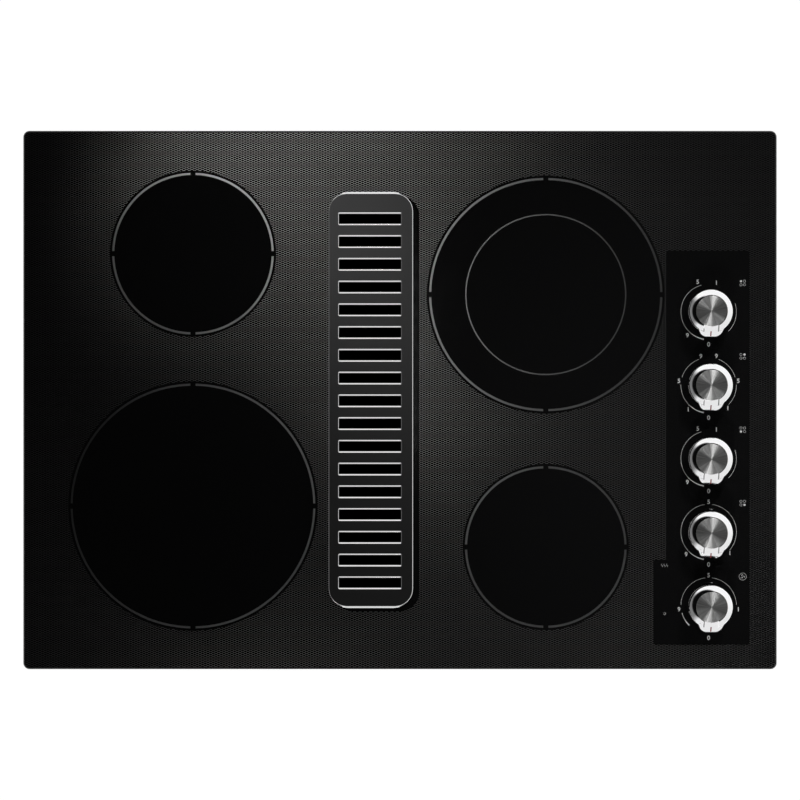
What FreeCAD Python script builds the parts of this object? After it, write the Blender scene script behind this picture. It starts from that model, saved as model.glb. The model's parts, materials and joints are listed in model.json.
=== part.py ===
import FreeCAD, Part
import math
import os

# Downdraft cooktop for a counter cut-out, millimetres, +X right, +Y back, +Z up.
# The origin is the middle of the rim seal's underside, where the glass rests on the counter.

# Plan, from the left edge of the glass to the right, measured at the printed rings
LEFT_MARGIN = 50.3
LARGE_RING_RADIUS = 126.0
SMALL_RING_RADIUS = 82.8
DUAL_RING_RADIUS = 120.0
DUAL_INNER_RADIUS = 83.0
GRILLE_LEFT_GAP = 15.2
GRILLE_WIDTH = 87.2
GRILLE_RIGHT_GAP = 18.0
KNOB_LEFT_GAP = 49.1
KNOB_RIGHT_GAP = 70.8

# Plan, from the back edge to the front
LEFT_REAR_MARGIN = 44.8
LEFT_ROW_GAP = 53.3
LEFT_FRONT_MARGIN = 43.5
RIGHT_REAR_MARGIN = 50.1
RIGHT_ROW_GAP = 59.4
RIGHT_FRONT_MARGIN = 44.1
KNOB_FRONT_INSET = 66.3
KNOB_PITCH = 76.2

# Glass, seal and bond
GLASS_THICKNESS = 4.0
GLASS_CORNER_RADIUS = 6.5
GLASS_EDGE_BEVEL = 1.2
SEAL_THICKNESS = 2.0
SEAL_WIDTH = 12.0
SEAL_INSET = 3.0
BOND_THICKNESS = 0.6
BOND_INSET = 1.0

# Burner box
SHEET = 1.0
BOX_FLANGE = 10.0
BOX_CORNER_RADIUS = 12.0
DISH_WALL_CLEARANCE = 5.0
SWITCH_WALL_CLEARANCE = 11.0
LOUVRE_COUNT = 6
LOUVRE_LENGTH = 60.0
LOUVRE_WIDTH = 4.0
LOUVRE_PITCH = 12.0
LOUVRE_SIDE_GAP = 22.0

# Radiant elements
DISH_MARGIN = 3.0
DISH_SHEET = 0.8
ELEMENT_HEIGHT = 31.0
DISH_DEPTH = 22.0
INSULATION_FLOOR = 14.0
INSULATION_RIM = 9.0
INSULATION_FIT = 0.1
RIBBON_HEIGHT = 5.0
RIBBON_THICKNESS = 0.8
RIBBON_PITCH = 12.0
RIBBON_CENTRE_RADIUS = 22.0
RIBBON_RIM_GAP = 6.0
RIBBON_BREAK = 20.0
DIVIDER_THICKNESS = 5.0
LIMITER_ROD_RADIUS = 2.4
LIMITER_ROD_DROP = 5.0
LIMITER_NOTCH_CLEARANCE = 0.4
LIMITER_HEAD_LENGTH = 22.0
LIMITER_HEAD_WIDTH = 20.0
LIMITER_HEAD_HEIGHT = 16.0
LIMITER_HEAD_GAP = 0.2
BAR_WIDTH = 36.0
BAR_HEIGHT = 30.0
BAR_FOOT = 12.0
BAR_END_CLEARANCE = 0.5
SPRING_HEIGHT = 14.0
SPRING_SPAN = 60.0
SPRING_WIDTH = 12.0
SPRING_SHEET = 0.8
SPRING_TOUCH_GAP = 0.1
SPRING_OFFSET = 42.0

# Vent grille, bumpers, collar and filter
SLOT_COUNT = 17
SLOT_PITCH = 23.56
SLOT_WIDTH = 12.0
SLOT_SIDE_MARGIN = 10.6
SLOT_CORNER_RADIUS = 1.2
SLOT_EDGE_BEVEL = 0.8
GRILLE_END_MARGIN = 21.0
GRILLE_CORNER_RADIUS = 20.0
GRILLE_HEIGHT = 8.2
GRILLE_PLATE = 3.0
GRILLE_WALL = 2.5
GRILLE_EDGE_ROUND = 1.8
BUMPER_HEIGHT = 0.8
BUMPER_LENGTH = 14.0
BUMPER_SPACING = 150.0
COLLAR_CLEARANCE = 0.8
COLLAR_LIP = 6.0
COLLAR_DEPTH = 41.0
COLLAR_LEDGE = 4.0
NECK_HOLE_CLEARANCE = 1.0
FILTER_CLEARANCE = 1.0
FILTER_THICKNESS = 9.0
FILTER_RAIL = 7.0
MESH_THICKNESS = 3.0
MESH_GROOVE = 4.5
MESH_FIT = 0.2
MESH_COLUMNS = 5
MESH_ROWS = 33
MESH_STRAND = 2.2
PULL_WIDTH = 22.0
PULL_HEIGHT = 12.0
PULL_WIRE = 2.5

# Plenum
NECK_CLEARANCE = 2.0
NECK_TOP_FLANGE = 4.0
VENT_GASKET_THICKNESS = 1.5
FLOOR_FLANGE = 14.0
FLOOR_HOLE_CLEARANCE = 1.0
FUNNEL_SIDE_GROWTH = 9.0
FUNNEL_FOOT_MARGIN = 50.0
FUNNEL_SUMP = 45.0

# Blower, motor and outlet
WHEEL_RADIUS = 78.0
WHEEL_INNER_RADIUS = 64.0
WHEEL_WIDTH = 70.0
WHEEL_RING = 5.0
WHEEL_DISC = 2.0
WHEEL_HUB_RADIUS = 13.0
WHEEL_HUB_LENGTH = 24.0
BLADE_COUNT = 36
BLADE_THICKNESS = 0.9
BLADE_SWEEP = 14.0
INLET_RADIUS = 62.0
INLET_LIP = 6.0
PLENUM_HOLE_CLEARANCE = 1.5
SCROLL_TONGUE_GAP = 7.0
SCROLL_STEP = 14.0
WHEEL_SIDE_GAP = 8.0
SCROLL_FLANGE = 8.0
SCROLL_TOP_GAP = 27.0
OUTLET_LENGTH = 36.0
MOTOR_RADIUS = 56.0
MOTOR_LENGTH = 92.0
MOTOR_EDGE_ROUND = 7.0
MOTOR_STANDOFF = 22.0
MOTOR_SHAFT_RADIUS = 4.0
MOTOR_SHAFT_TAIL = 8.0
SHAFT_RUNNING_CLEARANCE = 0.05
MOTOR_HOLE_RADIUS = 20.0
BAND_THICKNESS = 2.0
BAND_WIDTH = 14.0
BAND_FIT = 0.1
LEG_COUNT = 3
LEG_WIDTH = 16.0
LEG_FOOT = 22.0
GROMMET_THICKNESS = 6.0
GROMMET_RADIUS = 6.5
CAPACITOR_RADIUS = 17.0
CAPACITOR_LENGTH = 52.0
CAPACITOR_SIDE_GAP = 22.0
CAPACITOR_RISE = 48.0
TRANSITION_HEIGHT = 58.0
OUTLET_FLANGE = 10.0
DUCT_RADIUS = 75.5
DUCT_COLLAR_LENGTH = 45.0

# Switches, shafts and knobs
BRACKET_SHEET = 1.2
BRACKET_DROP = 16.0
BRACKET_HALF_WIDTH = 24.0
BRACKET_END = 28.0
BRACKET_FOOT = 14.0
SWITCH_WIDTH = 38.0
SWITCH_LENGTH = 34.0
SWITCH_HEIGHT = 26.0
SWITCH_TOP = 4.0
SWITCH_BASE = 4.0
TERMINAL_LENGTH = 9.0
TERMINAL_WIDTH = 6.3
TERMINAL_THICKNESS = 0.8
TERMINAL_SPREAD = 11.0
CAM_HUB_RADIUS = 8.0
CAM_LOBE_RADIUS = 6.0
CAM_LOBE_OFFSET = 5.5
CAM_CLEARANCE = 0.3
FAN_CONTROL_RADIUS = 13.0
FAN_CONTROL_HEIGHT = 18.0
SHAFT_RADIUS = 3.0
SHAFT_FLAT = 2.2
SHAFT_CLEARANCE = 0.06
SHAFT_BRACKET_CLEARANCE = 2.0
SHAFT_END_GAP = 1.0
SHAFT_IN_KNOB = 15.0
PUSH_TRAVEL = 2.5
SEAL_RING_RADIUS = 7.0
SEAL_RING_CLEARANCE = 0.3
SEAL_RING_FLANGE = 3.0
SEAL_RING_SHEET = 1.2
KNOB_LIFT = 3.6
KNOB_HEIGHT = 26.0
KNOB_BASE_RADIUS = 23.8
KNOB_BASE_EDGE = 1.5
KNOB_SHOULDER_RADIUS = 22.0
KNOB_SHOULDER_OUTER_TILT = 32.0
KNOB_SHOULDER_INNER_TILT = 14.0
KNOB_EDGE_ROUND = 0.8
KNOB_RIM = 0.7
KNOB_HOLLOW_WALL = 4.0
KNOB_HUB_RADIUS = 7.0
KNOB_HOLLOW_DEPTH = 13.0
POINTER_REACH = 26.0
POINTER_TIP_WIDTH = 18.8
POINTER_ROOT_WIDTH = 25.0
POINTER_FACET_WIDTH = 16.5
POINTER_TOP_DROP = 0.3
POINTER_TIP_DROP = 9.5
POINTER_CORNER_ROUND = 2.0
CAP_RADIUS = 15.8
CAP_THICKNESS = 1.2
CAP_CLEARANCE = 0.1
CAP_DOME = 0.4
LAMP_RADIUS = 4.5
LAMP_SIDE_OFFSET = 45.8
LAMP_PITCH = 32.0
LAMP_GLASS_GAP = 0.5
LAMP_TAB_MARGIN = 4.0

# Junction box and hold-down clamps
JUNCTION_WIDTH = 120.0
JUNCTION_DEPTH = 80.0
JUNCTION_HEIGHT = 45.0
JUNCTION_RIGHT_INSET = 60.0
JUNCTION_BACK_INSET = 55.0
GLAND_BORE_RADIUS = 11.1
GLAND_WALL = 2.4
GLAND_LENGTH = 24.0
GLAND_NUT_RADIUS = 18.0
GLAND_NUT_HEIGHT = 6.0
GLAND_CLEARANCE = 0.2
LEAD_RADIUS = 3.5
LEAD_BEND = 50.0
LEAD_END_INSET = 25.0
LEAD_TOUCH_GAP = 0.1
CLAMP_WIDTH = 40.0
CLAMP_RISE = 34.0
CLAMP_TAB = 26.0
CLAMP_SHEET = 2.5
CLAMP_SCREW_RADIUS = 3.0
CLAMP_SCREW_CLEARANCE = 0.08
CLAMP_SCREW_INSET = 10.0
CLAMP_TIP_DROP = 38.0
CLAMP_TAB_DROP = 58.0
CLAMP_SCREW_TAIL = 26.0
CLAMP_PAD_RADIUS = 6.0
CLAMP_PAD_HEIGHT = 3.0

# Sheet-metal screws
SCREW_SHANK_RADIUS = 2.0
SCREW_HOLE_CLEARANCE = 0.15
SCREW_HEAD_RADIUS = 3.8
SCREW_HEAD_HEIGHT = 3.2
SCREW_WASHER_RADIUS = 5.2
SCREW_WASHER_HEIGHT = 0.8
SCREW_TIP = 4.0
SCREW_EDGE = 7.0

# Plan places that follow from the layout
left_half = max(LARGE_RING_RADIUS, SMALL_RING_RADIUS)
right_half = max(DUAL_RING_RADIUS, SMALL_RING_RADIUS)
glass_width = (LEFT_MARGIN + 2 * left_half + GRILLE_LEFT_GAP + GRILLE_WIDTH + GRILLE_RIGHT_GAP
               + 2 * right_half + KNOB_LEFT_GAP + KNOB_RIGHT_GAP)
left_column_depth = (LEFT_REAR_MARGIN + 2 * SMALL_RING_RADIUS + LEFT_ROW_GAP
                     + 2 * LARGE_RING_RADIUS + LEFT_FRONT_MARGIN)
right_column_depth = (RIGHT_REAR_MARGIN + 2 * DUAL_RING_RADIUS + RIGHT_ROW_GAP
                      + 2 * SMALL_RING_RADIUS + RIGHT_FRONT_MARGIN)
glass_depth = max(left_column_depth, right_column_depth)
left_x = -glass_width / 2 + LEFT_MARGIN + left_half
vent_x = left_x + left_half + GRILLE_LEFT_GAP + GRILLE_WIDTH / 2
right_x = vent_x + GRILLE_WIDTH / 2 + GRILLE_RIGHT_GAP + right_half
knob_x = glass_width / 2 - KNOB_RIGHT_GAP
fan_y = -glass_depth / 2 + KNOB_FRONT_INSET

left_rear_y = glass_depth / 2 - LEFT_REAR_MARGIN - SMALL_RING_RADIUS
left_front_y = LEFT_FRONT_MARGIN + LARGE_RING_RADIUS - glass_depth / 2
right_rear_y = glass_depth / 2 - RIGHT_REAR_MARGIN - DUAL_RING_RADIUS
right_front_y = RIGHT_FRONT_MARGIN + SMALL_RING_RADIUS - glass_depth / 2

# Each element: ring radius, plan place, direction of its limiter head in degrees, inner ring radius
ELEMENTS = {
    "left_rear": (SMALL_RING_RADIUS, left_x, left_rear_y, 180, 0),
    "left_front": (LARGE_RING_RADIUS, left_x, left_front_y, 90, 0),
    "right_rear": (DUAL_RING_RADIUS, right_x, right_rear_y, 270, DUAL_INNER_RADIUS),
    "right_front": (SMALL_RING_RADIUS, right_x, right_front_y, 0, 0),
}

# Knobs from the front: the fan control, then the four element switches
SWITCHES = ("right_front", "left_front", "right_rear", "left_rear")
knob_y = {"fan": fan_y}
for step, switch_name in enumerate(SWITCHES, start=1):
    knob_y[switch_name] = fan_y + step * KNOB_PITCH

# Heights
glass_bottom = SEAL_THICKNESS
glass_top = glass_bottom + GLASS_THICKNESS
box_top = glass_bottom - BOND_THICKNESS
dish_bottom = glass_bottom - ELEMENT_HEIGHT
insulation_floor = dish_bottom + DISH_SHEET + INSULATION_FLOOR
bar_top = dish_bottom - SPRING_HEIGHT
floor_top = bar_top - BAR_HEIGHT
floor_bottom = floor_top - SHEET
grille_bottom = glass_top + BUMPER_HEIGHT
grille_top = grille_bottom + GRILLE_HEIGHT
collar_bottom = glass_top + SHEET - COLLAR_DEPTH
filter_bottom = collar_bottom + SHEET
bracket_top = glass_bottom - BRACKET_DROP
bracket_bottom = bracket_top - BRACKET_SHEET
switch_bottom = bracket_bottom - SWITCH_HEIGHT
base_top = switch_bottom + SWITCH_BASE
knob_bottom = glass_top + KNOB_LIFT
knob_top = knob_bottom + KNOB_HEIGHT

# Burner box walls, outside
box_left = left_x - left_half - DISH_MARGIN - DISH_WALL_CLEARANCE - BOX_FLANGE
box_right = knob_x + max(SWITCH_WIDTH / 2, BRACKET_HALF_WIDTH) + SWITCH_WALL_CLEARANCE
box_front = min(y - r for r, x, y, a, i in ELEMENTS.values()) - DISH_MARGIN - DISH_WALL_CLEARANCE - BOX_FLANGE
box_back = max(y + r for r, x, y, a, i in ELEMENTS.values()) + DISH_MARGIN + DISH_WALL_CLEARANCE + BOX_FLANGE
box_x = (box_left + box_right) / 2
box_y = (box_front + box_back) / 2
box_width = box_right - box_left
box_depth = box_back - box_front

# Vent sizes that follow from the grille
grille_length = (SLOT_COUNT - 1) * SLOT_PITCH + SLOT_WIDTH + 2 * GRILLE_END_MARGIN
inner_trim = 2 * (GRILLE_WALL + COLLAR_CLEARANCE)
collar_size = (GRILLE_WIDTH - inner_trim, grille_length - inner_trim)
collar_radius = GRILLE_CORNER_RADIUS - GRILLE_WALL - COLLAR_CLEARANCE
neck_size = (collar_size[0] - 2 * COLLAR_LIP, collar_size[1] - 2 * COLLAR_LIP)
neck_radius = collar_radius - COLLAR_LIP
plenum_neck = (neck_size[0] + 2 * (NECK_CLEARANCE + SHEET), neck_size[1] + 2 * (NECK_CLEARANCE + SHEET))
plenum_radius = neck_radius + NECK_CLEARANCE + SHEET
plenum_top = glass_bottom - VENT_GASKET_THICKNESS

# Blower places: the axis runs along X through the plenum's right wall
scroll_radius = WHEEL_RADIUS + SCROLL_TONGUE_GAP + SCROLL_STEP / 2
axis_z = floor_bottom - SCROLL_TOP_GAP - SCROLL_FLANGE - 1.5 * SCROLL_STEP - scroll_radius
funnel_half_width = plenum_neck[0] / 2 + FUNNEL_SIDE_GROWTH
funnel_half_length = plenum_neck[1] / 2
funnel_foot = INLET_RADIUS + FUNNEL_FOOT_MARGIN
funnel_bottom = axis_z - INLET_RADIUS - FUNNEL_SUMP
inlet_x = vent_x + funnel_half_width
scroll_x = inlet_x + SHEET
scroll_width = WHEEL_WIDTH + 2 * WHEEL_SIDE_GAP
motor_plate_x = scroll_x + scroll_width
legs_x = motor_plate_x + SHEET + GROMMET_THICKNESS
motor_x = motor_plate_x + SHEET + MOTOR_STANDOFF
wheel_x = scroll_x + WHEEL_SIDE_GAP
outlet_z = axis_z - scroll_radius - OUTLET_LENGTH
outlet_front = -SCROLL_STEP / 2
outlet_back = 2.5 * SCROLL_STEP + scroll_radius
outlet_y = (outlet_front + outlet_back) / 2
outlet_x = scroll_x + scroll_width / 2
round_top = outlet_z - SHEET - TRANSITION_HEIGHT
duct_bottom = round_top - DUCT_COLLAR_LENGTH
leg_screw_radius = MOTOR_RADIUS + BAND_FIT + LEG_FOOT - SCREW_EDGE
screw_hole = SCREW_SHANK_RADIUS + SCREW_HOLE_CLEARANCE

# Junction box and clamp places
junction_right = box_right - JUNCTION_RIGHT_INSET
junction_back = box_back - JUNCTION_BACK_INSET
junction_x = junction_right - JUNCTION_WIDTH / 2
junction_y = junction_back - JUNCTION_DEPTH / 2
junction_bottom = floor_bottom - JUNCTION_HEIGHT
gland_z = floor_bottom - JUNCTION_HEIGHT / 2
clamp_tab_top = -CLAMP_TAB_DROP
clamp_tip = -CLAMP_TIP_DROP


def vec(x, y, z):
    return FreeCAD.Vector(x, y, z)


def block(x0, x1, y0, y1, z0, z1):
    return Part.makeBox(x1 - x0, y1 - y0, z1 - z0, vec(x0, y0, z0))


def disc(x, y, radius, z0, z1):
    return Part.makeCylinder(radius, z1 - z0, vec(x, y, z0))


def rod_along_x(x0, x1, y, z, radius):
    return Part.makeCylinder(radius, x1 - x0, vec(x0, y, z), vec(1, 0, 0))


def rounded_face(x, y, width, depth, radius, z):
    """A rectangle with round corners, lying flat at height z."""
    half_x = width / 2
    half_y = depth / 2
    edges = []
    corners = ((1, 1, 0), (-1, 1, 90), (-1, -1, 180), (1, -1, 270))
    arcs = []
    for side_x, side_y, start in corners:
        centre_x = x + side_x * (half_x - radius)
        centre_y = y + side_y * (half_y - radius)
        points = []
        for turn in (start, start + 45, start + 90):
            angle = math.radians(turn)
            points.append(vec(centre_x + radius * math.cos(angle), centre_y + radius * math.sin(angle), z))
        arcs.append(points)
    for index, points in enumerate(arcs):
        following = arcs[(index + 1) % len(arcs)]
        edges.append(Part.Arc(*points).toShape())
        edges.append(Part.LineSegment(points[2], following[0]).toShape())
    return Part.Face(Part.Wire(edges))


def rounded_block(x, y, width, depth, radius, z0, z1):
    return rounded_face(x, y, width, depth, radius, z0).extrude(vec(0, 0, z1 - z0))


def vent_block(size, radius, z0, z1):
    """A round-cornered block on the vent's centre line."""
    return rounded_block(vent_x, 0, size[0], size[1], radius, z0, z1)


def grown(size, growth):
    return (size[0] + 2 * growth, size[1] + 2 * growth)


def fused(first, others):
    return first.multiFuse(others).removeSplitter()


def screw(seat, direction, grip):
    """A hex washer-head screw whose head stands on the seat and points along direction."""
    corners = []
    for corner in range(7):
        angle = math.radians(60 * corner)
        corners.append(vec(SCREW_HEAD_RADIUS * math.cos(angle), SCREW_HEAD_RADIUS * math.sin(angle), 0))
    head = Part.Face(Part.makePolygon(corners)).extrude(vec(0, 0, SCREW_HEAD_HEIGHT))
    washer = disc(0, 0, SCREW_WASHER_RADIUS, 0, SCREW_WASHER_HEIGHT)
    shank = disc(0, 0, SCREW_SHANK_RADIUS, -grip - SCREW_TIP, SCREW_WASHER_HEIGHT)
    whole = fused(washer, [head, shank])
    turn = FreeCAD.Rotation(vec(0, 0, 1), vec(*direction))
    whole.Placement = FreeCAD.Placement(vec(*seat), turn)
    return whole


def drill_up(x, y, z0, z1):
    """A screw hole through level sheets."""
    return disc(x, y, screw_hole, z0 - SHEET, z1 + SHEET)


def plenum_screw_points():
    side = funnel_half_width + FLOOR_FLANGE - SCREW_EDGE
    spots = []
    for side_x in (-side, side):
        for share in (-0.9, -0.3, 0.3, 0.9):
            spots.append((vent_x + side_x, share * funnel_half_length))
    return spots


def bar_columns():
    return (left_x, right_x)


def bar_screw_points():
    spots = []
    reach = BAR_WIDTH / 2 + BAR_FOOT - SCREW_EDGE
    for column in bar_columns():
        for side_x in (-reach, reach):
            for y in (box_front + 3 * SCREW_EDGE, box_back - 3 * SCREW_EDGE):
                spots.append((column + side_x, y))
    return spots


def bracket_ends():
    return (fan_y - BRACKET_END, fan_y + len(SWITCHES) * KNOB_PITCH + BRACKET_END)


def bracket_screw_points():
    front, back = bracket_ends()
    inset = BRACKET_SHEET + BRACKET_FOOT - SCREW_EDGE
    spots = []
    for side_x in (-BRACKET_HALF_WIDTH / 2, BRACKET_HALF_WIDTH / 2):
        spots.append((knob_x + side_x, front + inset))
        spots.append((knob_x + side_x, back - inset))
    return spots


def junction_screw_points():
    reach = JUNCTION_WIDTH / 4
    return [(junction_x - reach, junction_y), (junction_x + reach, junction_y)]


def clamp_screw_points():
    """Wall screws of the hold-down brackets: side sign, place along the wall and height."""
    spots = []
    for side in (-1, 1):
        for y in (-CLAMP_WIDTH / 4, CLAMP_WIDTH / 4):
            spots.append((side, y, clamp_tab_top + CLAMP_RISE - SCREW_EDGE))
    return spots


def wall_x(side):
    return box_left if side < 0 else box_right


def glass_plate():
    plate = rounded_block(0, 0, glass_width, glass_depth, GLASS_CORNER_RADIUS, glass_bottom, glass_top)
    rim = [edge for edge in plate.Edges if edge.BoundBox.ZMin > glass_top - GLASS_EDGE_BEVEL / 2]
    plate = plate.makeChamfer(GLASS_EDGE_BEVEL, rim)
    hole = vent_block(grown(neck_size, NECK_HOLE_CLEARANCE), neck_radius + NECK_HOLE_CLEARANCE,
                      glass_bottom, glass_top)
    shaft_hole = SEAL_RING_RADIUS + SEAL_RING_CLEARANCE
    holes = [disc(knob_x, y, shaft_hole, glass_bottom, glass_top) for y in knob_y.values()]
    return plate.cut([hole] + holes)


def rim_seal():
    width = glass_width - 2 * SEAL_INSET
    depth = glass_depth - 2 * SEAL_INSET
    outer = rounded_block(0, 0, width, depth, GLASS_CORNER_RADIUS, 0, glass_bottom)
    inner = rounded_block(0, 0, width - 2 * SEAL_WIDTH, depth - 2 * SEAL_WIDTH, GLASS_CORNER_RADIUS,
                          0, glass_bottom)
    return outer.cut(inner)


def box_block(inset, z0, z1):
    """A block with the burner box's plan, drawn in by the inset."""
    radius = BOX_CORNER_RADIUS - min(inset, BOX_CORNER_RADIUS / 2)
    return rounded_block(box_x, box_y, box_width - 2 * inset, box_depth - 2 * inset, radius, z0, z1)


def glass_bond():
    outer = box_block(BOND_INSET, box_top, glass_bottom)
    return outer.cut(box_block(BOX_FLANGE - BOND_INSET, box_top, glass_bottom))


def floor_louvres():
    """Cooling slots in the burner box floor, in two rows right of the vent."""
    cuts = []
    left = vent_x + funnel_half_width + FLOOR_FLANGE + LOUVRE_SIDE_GAP
    for row_y in (box_front + LOUVRE_LENGTH, box_back - LOUVRE_LENGTH):
        for index in range(LOUVRE_COUNT):
            x = left + index * LOUVRE_PITCH
            cuts.append(rounded_block(x, row_y, LOUVRE_WIDTH, LOUVRE_LENGTH, LOUVRE_WIDTH / 2.1,
                                      floor_bottom, floor_top))
    return cuts


def burner_box():
    pan = box_block(0, floor_bottom, box_top)
    pan = pan.cut(box_block(SHEET, floor_top, box_top - SHEET))
    pan = pan.cut(box_block(BOX_FLANGE, floor_top, box_top))
    cuts = floor_louvres()
    cuts.append(vent_block(grown(plenum_neck, FLOOR_HOLE_CLEARANCE), plenum_radius + FLOOR_HOLE_CLEARANCE,
                           floor_bottom, floor_top))
    cuts.append(disc(junction_x, junction_y, GLAND_BORE_RADIUS, floor_bottom, floor_top))
    level_points = (plenum_screw_points() + bar_screw_points() + bracket_screw_points()
                    + junction_screw_points())
    for x, y in level_points:
        cuts.append(drill_up(x, y, floor_bottom, floor_top))
    for side, y, z in clamp_screw_points():
        cuts.append(rod_along_x(wall_x(side) - 2 * SHEET, wall_x(side) + 2 * SHEET, y, z, screw_hole))
    return pan.cut(cuts)


def vent_collar():
    flange = vent_block(collar_size, collar_radius, glass_top, glass_top + SHEET)
    neck = vent_block(neck_size, neck_radius, collar_bottom, glass_top + SHEET)
    inside = vent_block(grown(neck_size, -SHEET), neck_radius - SHEET, filter_bottom, glass_top + SHEET)
    ledge = grown(neck_size, -SHEET - COLLAR_LEDGE)
    window = vent_block(ledge, neck_radius - SHEET - COLLAR_LEDGE, collar_bottom, glass_top + SHEET)
    return fused(flange, [neck]).cut([inside, window])


def slot_places():
    first = -(SLOT_COUNT - 1) * SLOT_PITCH / 2
    return [first + index * SLOT_PITCH for index in range(SLOT_COUNT)]


def vent_grille():
    size = (GRILLE_WIDTH, grille_length)
    shell = vent_block(size, GRILLE_CORNER_RADIUS, grille_bottom, grille_top)
    rim = [edge for edge in shell.Edges if edge.BoundBox.ZMin > grille_top - GRILLE_EDGE_ROUND / 2]
    shell = shell.makeFillet(GRILLE_EDGE_ROUND, rim)
    hollow = vent_block(grown(size, -GRILLE_WALL), GRILLE_CORNER_RADIUS - GRILLE_WALL,
                        grille_bottom, grille_top - GRILLE_PLATE)
    slot_length = GRILLE_WIDTH - 2 * SLOT_SIDE_MARGIN
    slots = []
    for y in slot_places():
        slots.append(rounded_block(vent_x, y, slot_length, SLOT_WIDTH, SLOT_CORNER_RADIUS,
                                   grille_bottom, grille_top))
    plate = shell.cut([hollow] + slots)
    reach = slot_length / 2 + SLOT_EDGE_BEVEL
    lips = []
    for edge in plate.Edges:
        bounds = edge.BoundBox
        on_top = bounds.ZMin > grille_top - SLOT_EDGE_BEVEL / 2
        if on_top and bounds.XMax < vent_x + reach and bounds.XMin > vent_x - reach:
            if abs(bounds.Center.y) < grille_length / 2 - GRILLE_END_MARGIN + SLOT_EDGE_BEVEL:
                lips.append(edge)
    return plate.makeChamfer(SLOT_EDGE_BEVEL, lips)


def grille_bumpers():
    """Soft pads under the grille's long walls."""
    pads = []
    for side in (-1, 1):
        middle = vent_x + side * (GRILLE_WIDTH - GRILLE_WALL) / 2
        for row in (-1, 0, 1):
            y = row * BUMPER_SPACING
            pads.append(block(middle - GRILLE_WALL / 2, middle + GRILLE_WALL / 2, y - BUMPER_LENGTH / 2,
                              y + BUMPER_LENGTH / 2, glass_top, grille_bottom))
    return Part.makeCompound(pads)


def filter_size():
    return grown(neck_size, -SHEET - FILTER_CLEARANCE)


def filter_corner():
    return neck_radius - SHEET - FILTER_CLEARANCE


def mesh_bottom():
    return filter_bottom + (FILTER_THICKNESS - MESH_THICKNESS) / 2


def filter_frame():
    top = filter_bottom + FILTER_THICKNESS
    size = filter_size()
    rail = vent_block(size, filter_corner(), filter_bottom, top)
    window = vent_block(grown(size, -FILTER_RAIL), SLOT_CORNER_RADIUS, filter_bottom, top)
    groove = vent_block(grown(size, -FILTER_RAIL + MESH_GROOVE), SLOT_CORNER_RADIUS,
                        mesh_bottom() - MESH_FIT, mesh_bottom() + MESH_THICKNESS + MESH_FIT)
    pulls = []
    for side in (-1, 1):
        y = side * (size[1] - FILTER_RAIL) / 2
        loop = block(vent_x - PULL_WIDTH / 2, vent_x + PULL_WIDTH / 2, y - PULL_WIRE / 2, y + PULL_WIRE / 2,
                     top, top + PULL_HEIGHT)
        gap = PULL_WIDTH / 2 - PULL_WIRE
        loop = loop.cut(block(vent_x - gap, vent_x + gap, y - PULL_WIRE, y + PULL_WIRE,
                              top, top + PULL_HEIGHT - PULL_WIRE))
        pulls.append(loop)
    return fused(rail.cut([window, groove]), pulls)


def filter_mesh():
    """Expanded metal: one sheet with staggered diamond gaps."""
    size = grown(filter_size(), -FILTER_RAIL + MESH_GROOVE - MESH_FIT)
    outline = rounded_face(vent_x, 0, size[0], size[1], SLOT_CORNER_RADIUS, mesh_bottom())
    pitch_x = (size[0] - MESH_STRAND) / MESH_COLUMNS
    pitch_y = (size[1] - MESH_STRAND) / MESH_ROWS
    half_x = (pitch_x - MESH_STRAND) / 2
    half_y = (pitch_y - MESH_STRAND) / 2
    gaps = []
    for row in range(MESH_ROWS):
        shift = (row % 2) / 2
        for column in range(MESH_COLUMNS - row % 2):
            x = vent_x - size[0] / 2 + MESH_STRAND / 2 + (column + shift + 0.5) * pitch_x
            y = -size[1] / 2 + MESH_STRAND / 2 + (row + 0.5) * pitch_y
            corners = [(x - half_x, y), (x, y - half_y), (x + half_x, y), (x, y + half_y), (x - half_x, y)]
            gaps.append(Part.makePolygon([vec(px, py, mesh_bottom()) for px, py in corners]))
    sheet = Part.Face([outline.OuterWire] + gaps)
    sheet.validate()
    return sheet.extrude(vec(0, 0, MESH_THICKNESS))


def funnel_solid(inset):
    """The plenum's lower chamber, narrowing from front and back towards its foot."""
    half_width = funnel_half_width - inset
    top = floor_bottom - SHEET
    bottom = funnel_bottom + inset
    profile = [
        (-funnel_half_length + inset, top),
        (funnel_half_length - inset, top),
        (funnel_foot - inset, bottom),
        (-funnel_foot + inset, bottom),
        (-funnel_half_length + inset, top),
    ]
    points = [vec(vent_x - half_width, y, z) for y, z in profile]
    return Part.Face(Part.makePolygon(points)).extrude(vec(2 * half_width, 0, 0))


def plenum():
    flange_size = grown(plenum_neck, NECK_TOP_FLANGE)
    top_flange = vent_block(flange_size, plenum_radius + NECK_TOP_FLANGE, plenum_top - SHEET, plenum_top)
    neck = vent_block(plenum_neck, plenum_radius, floor_bottom - SHEET, plenum_top)
    floor_flange = vent_block(grown(plenum_neck, FUNNEL_SIDE_GROWTH + FLOOR_FLANGE), plenum_radius,
                              floor_bottom - SHEET, floor_bottom)
    inside = vent_block(grown(plenum_neck, -SHEET), plenum_radius - SHEET, floor_bottom - 2 * SHEET,
                        plenum_top)
    inlet = rod_along_x(inlet_x - 2 * SHEET, inlet_x + SHEET, 0, axis_z, INLET_RADIUS + PLENUM_HOLE_CLEARANCE)
    cuts = [inside, funnel_solid(SHEET), inlet]
    for x, y in plenum_screw_points():
        cuts.append(drill_up(x, y, floor_bottom - SHEET, floor_bottom))
    return fused(neck, [top_flange, floor_flange, funnel_solid(0)]).cut(cuts)


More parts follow.
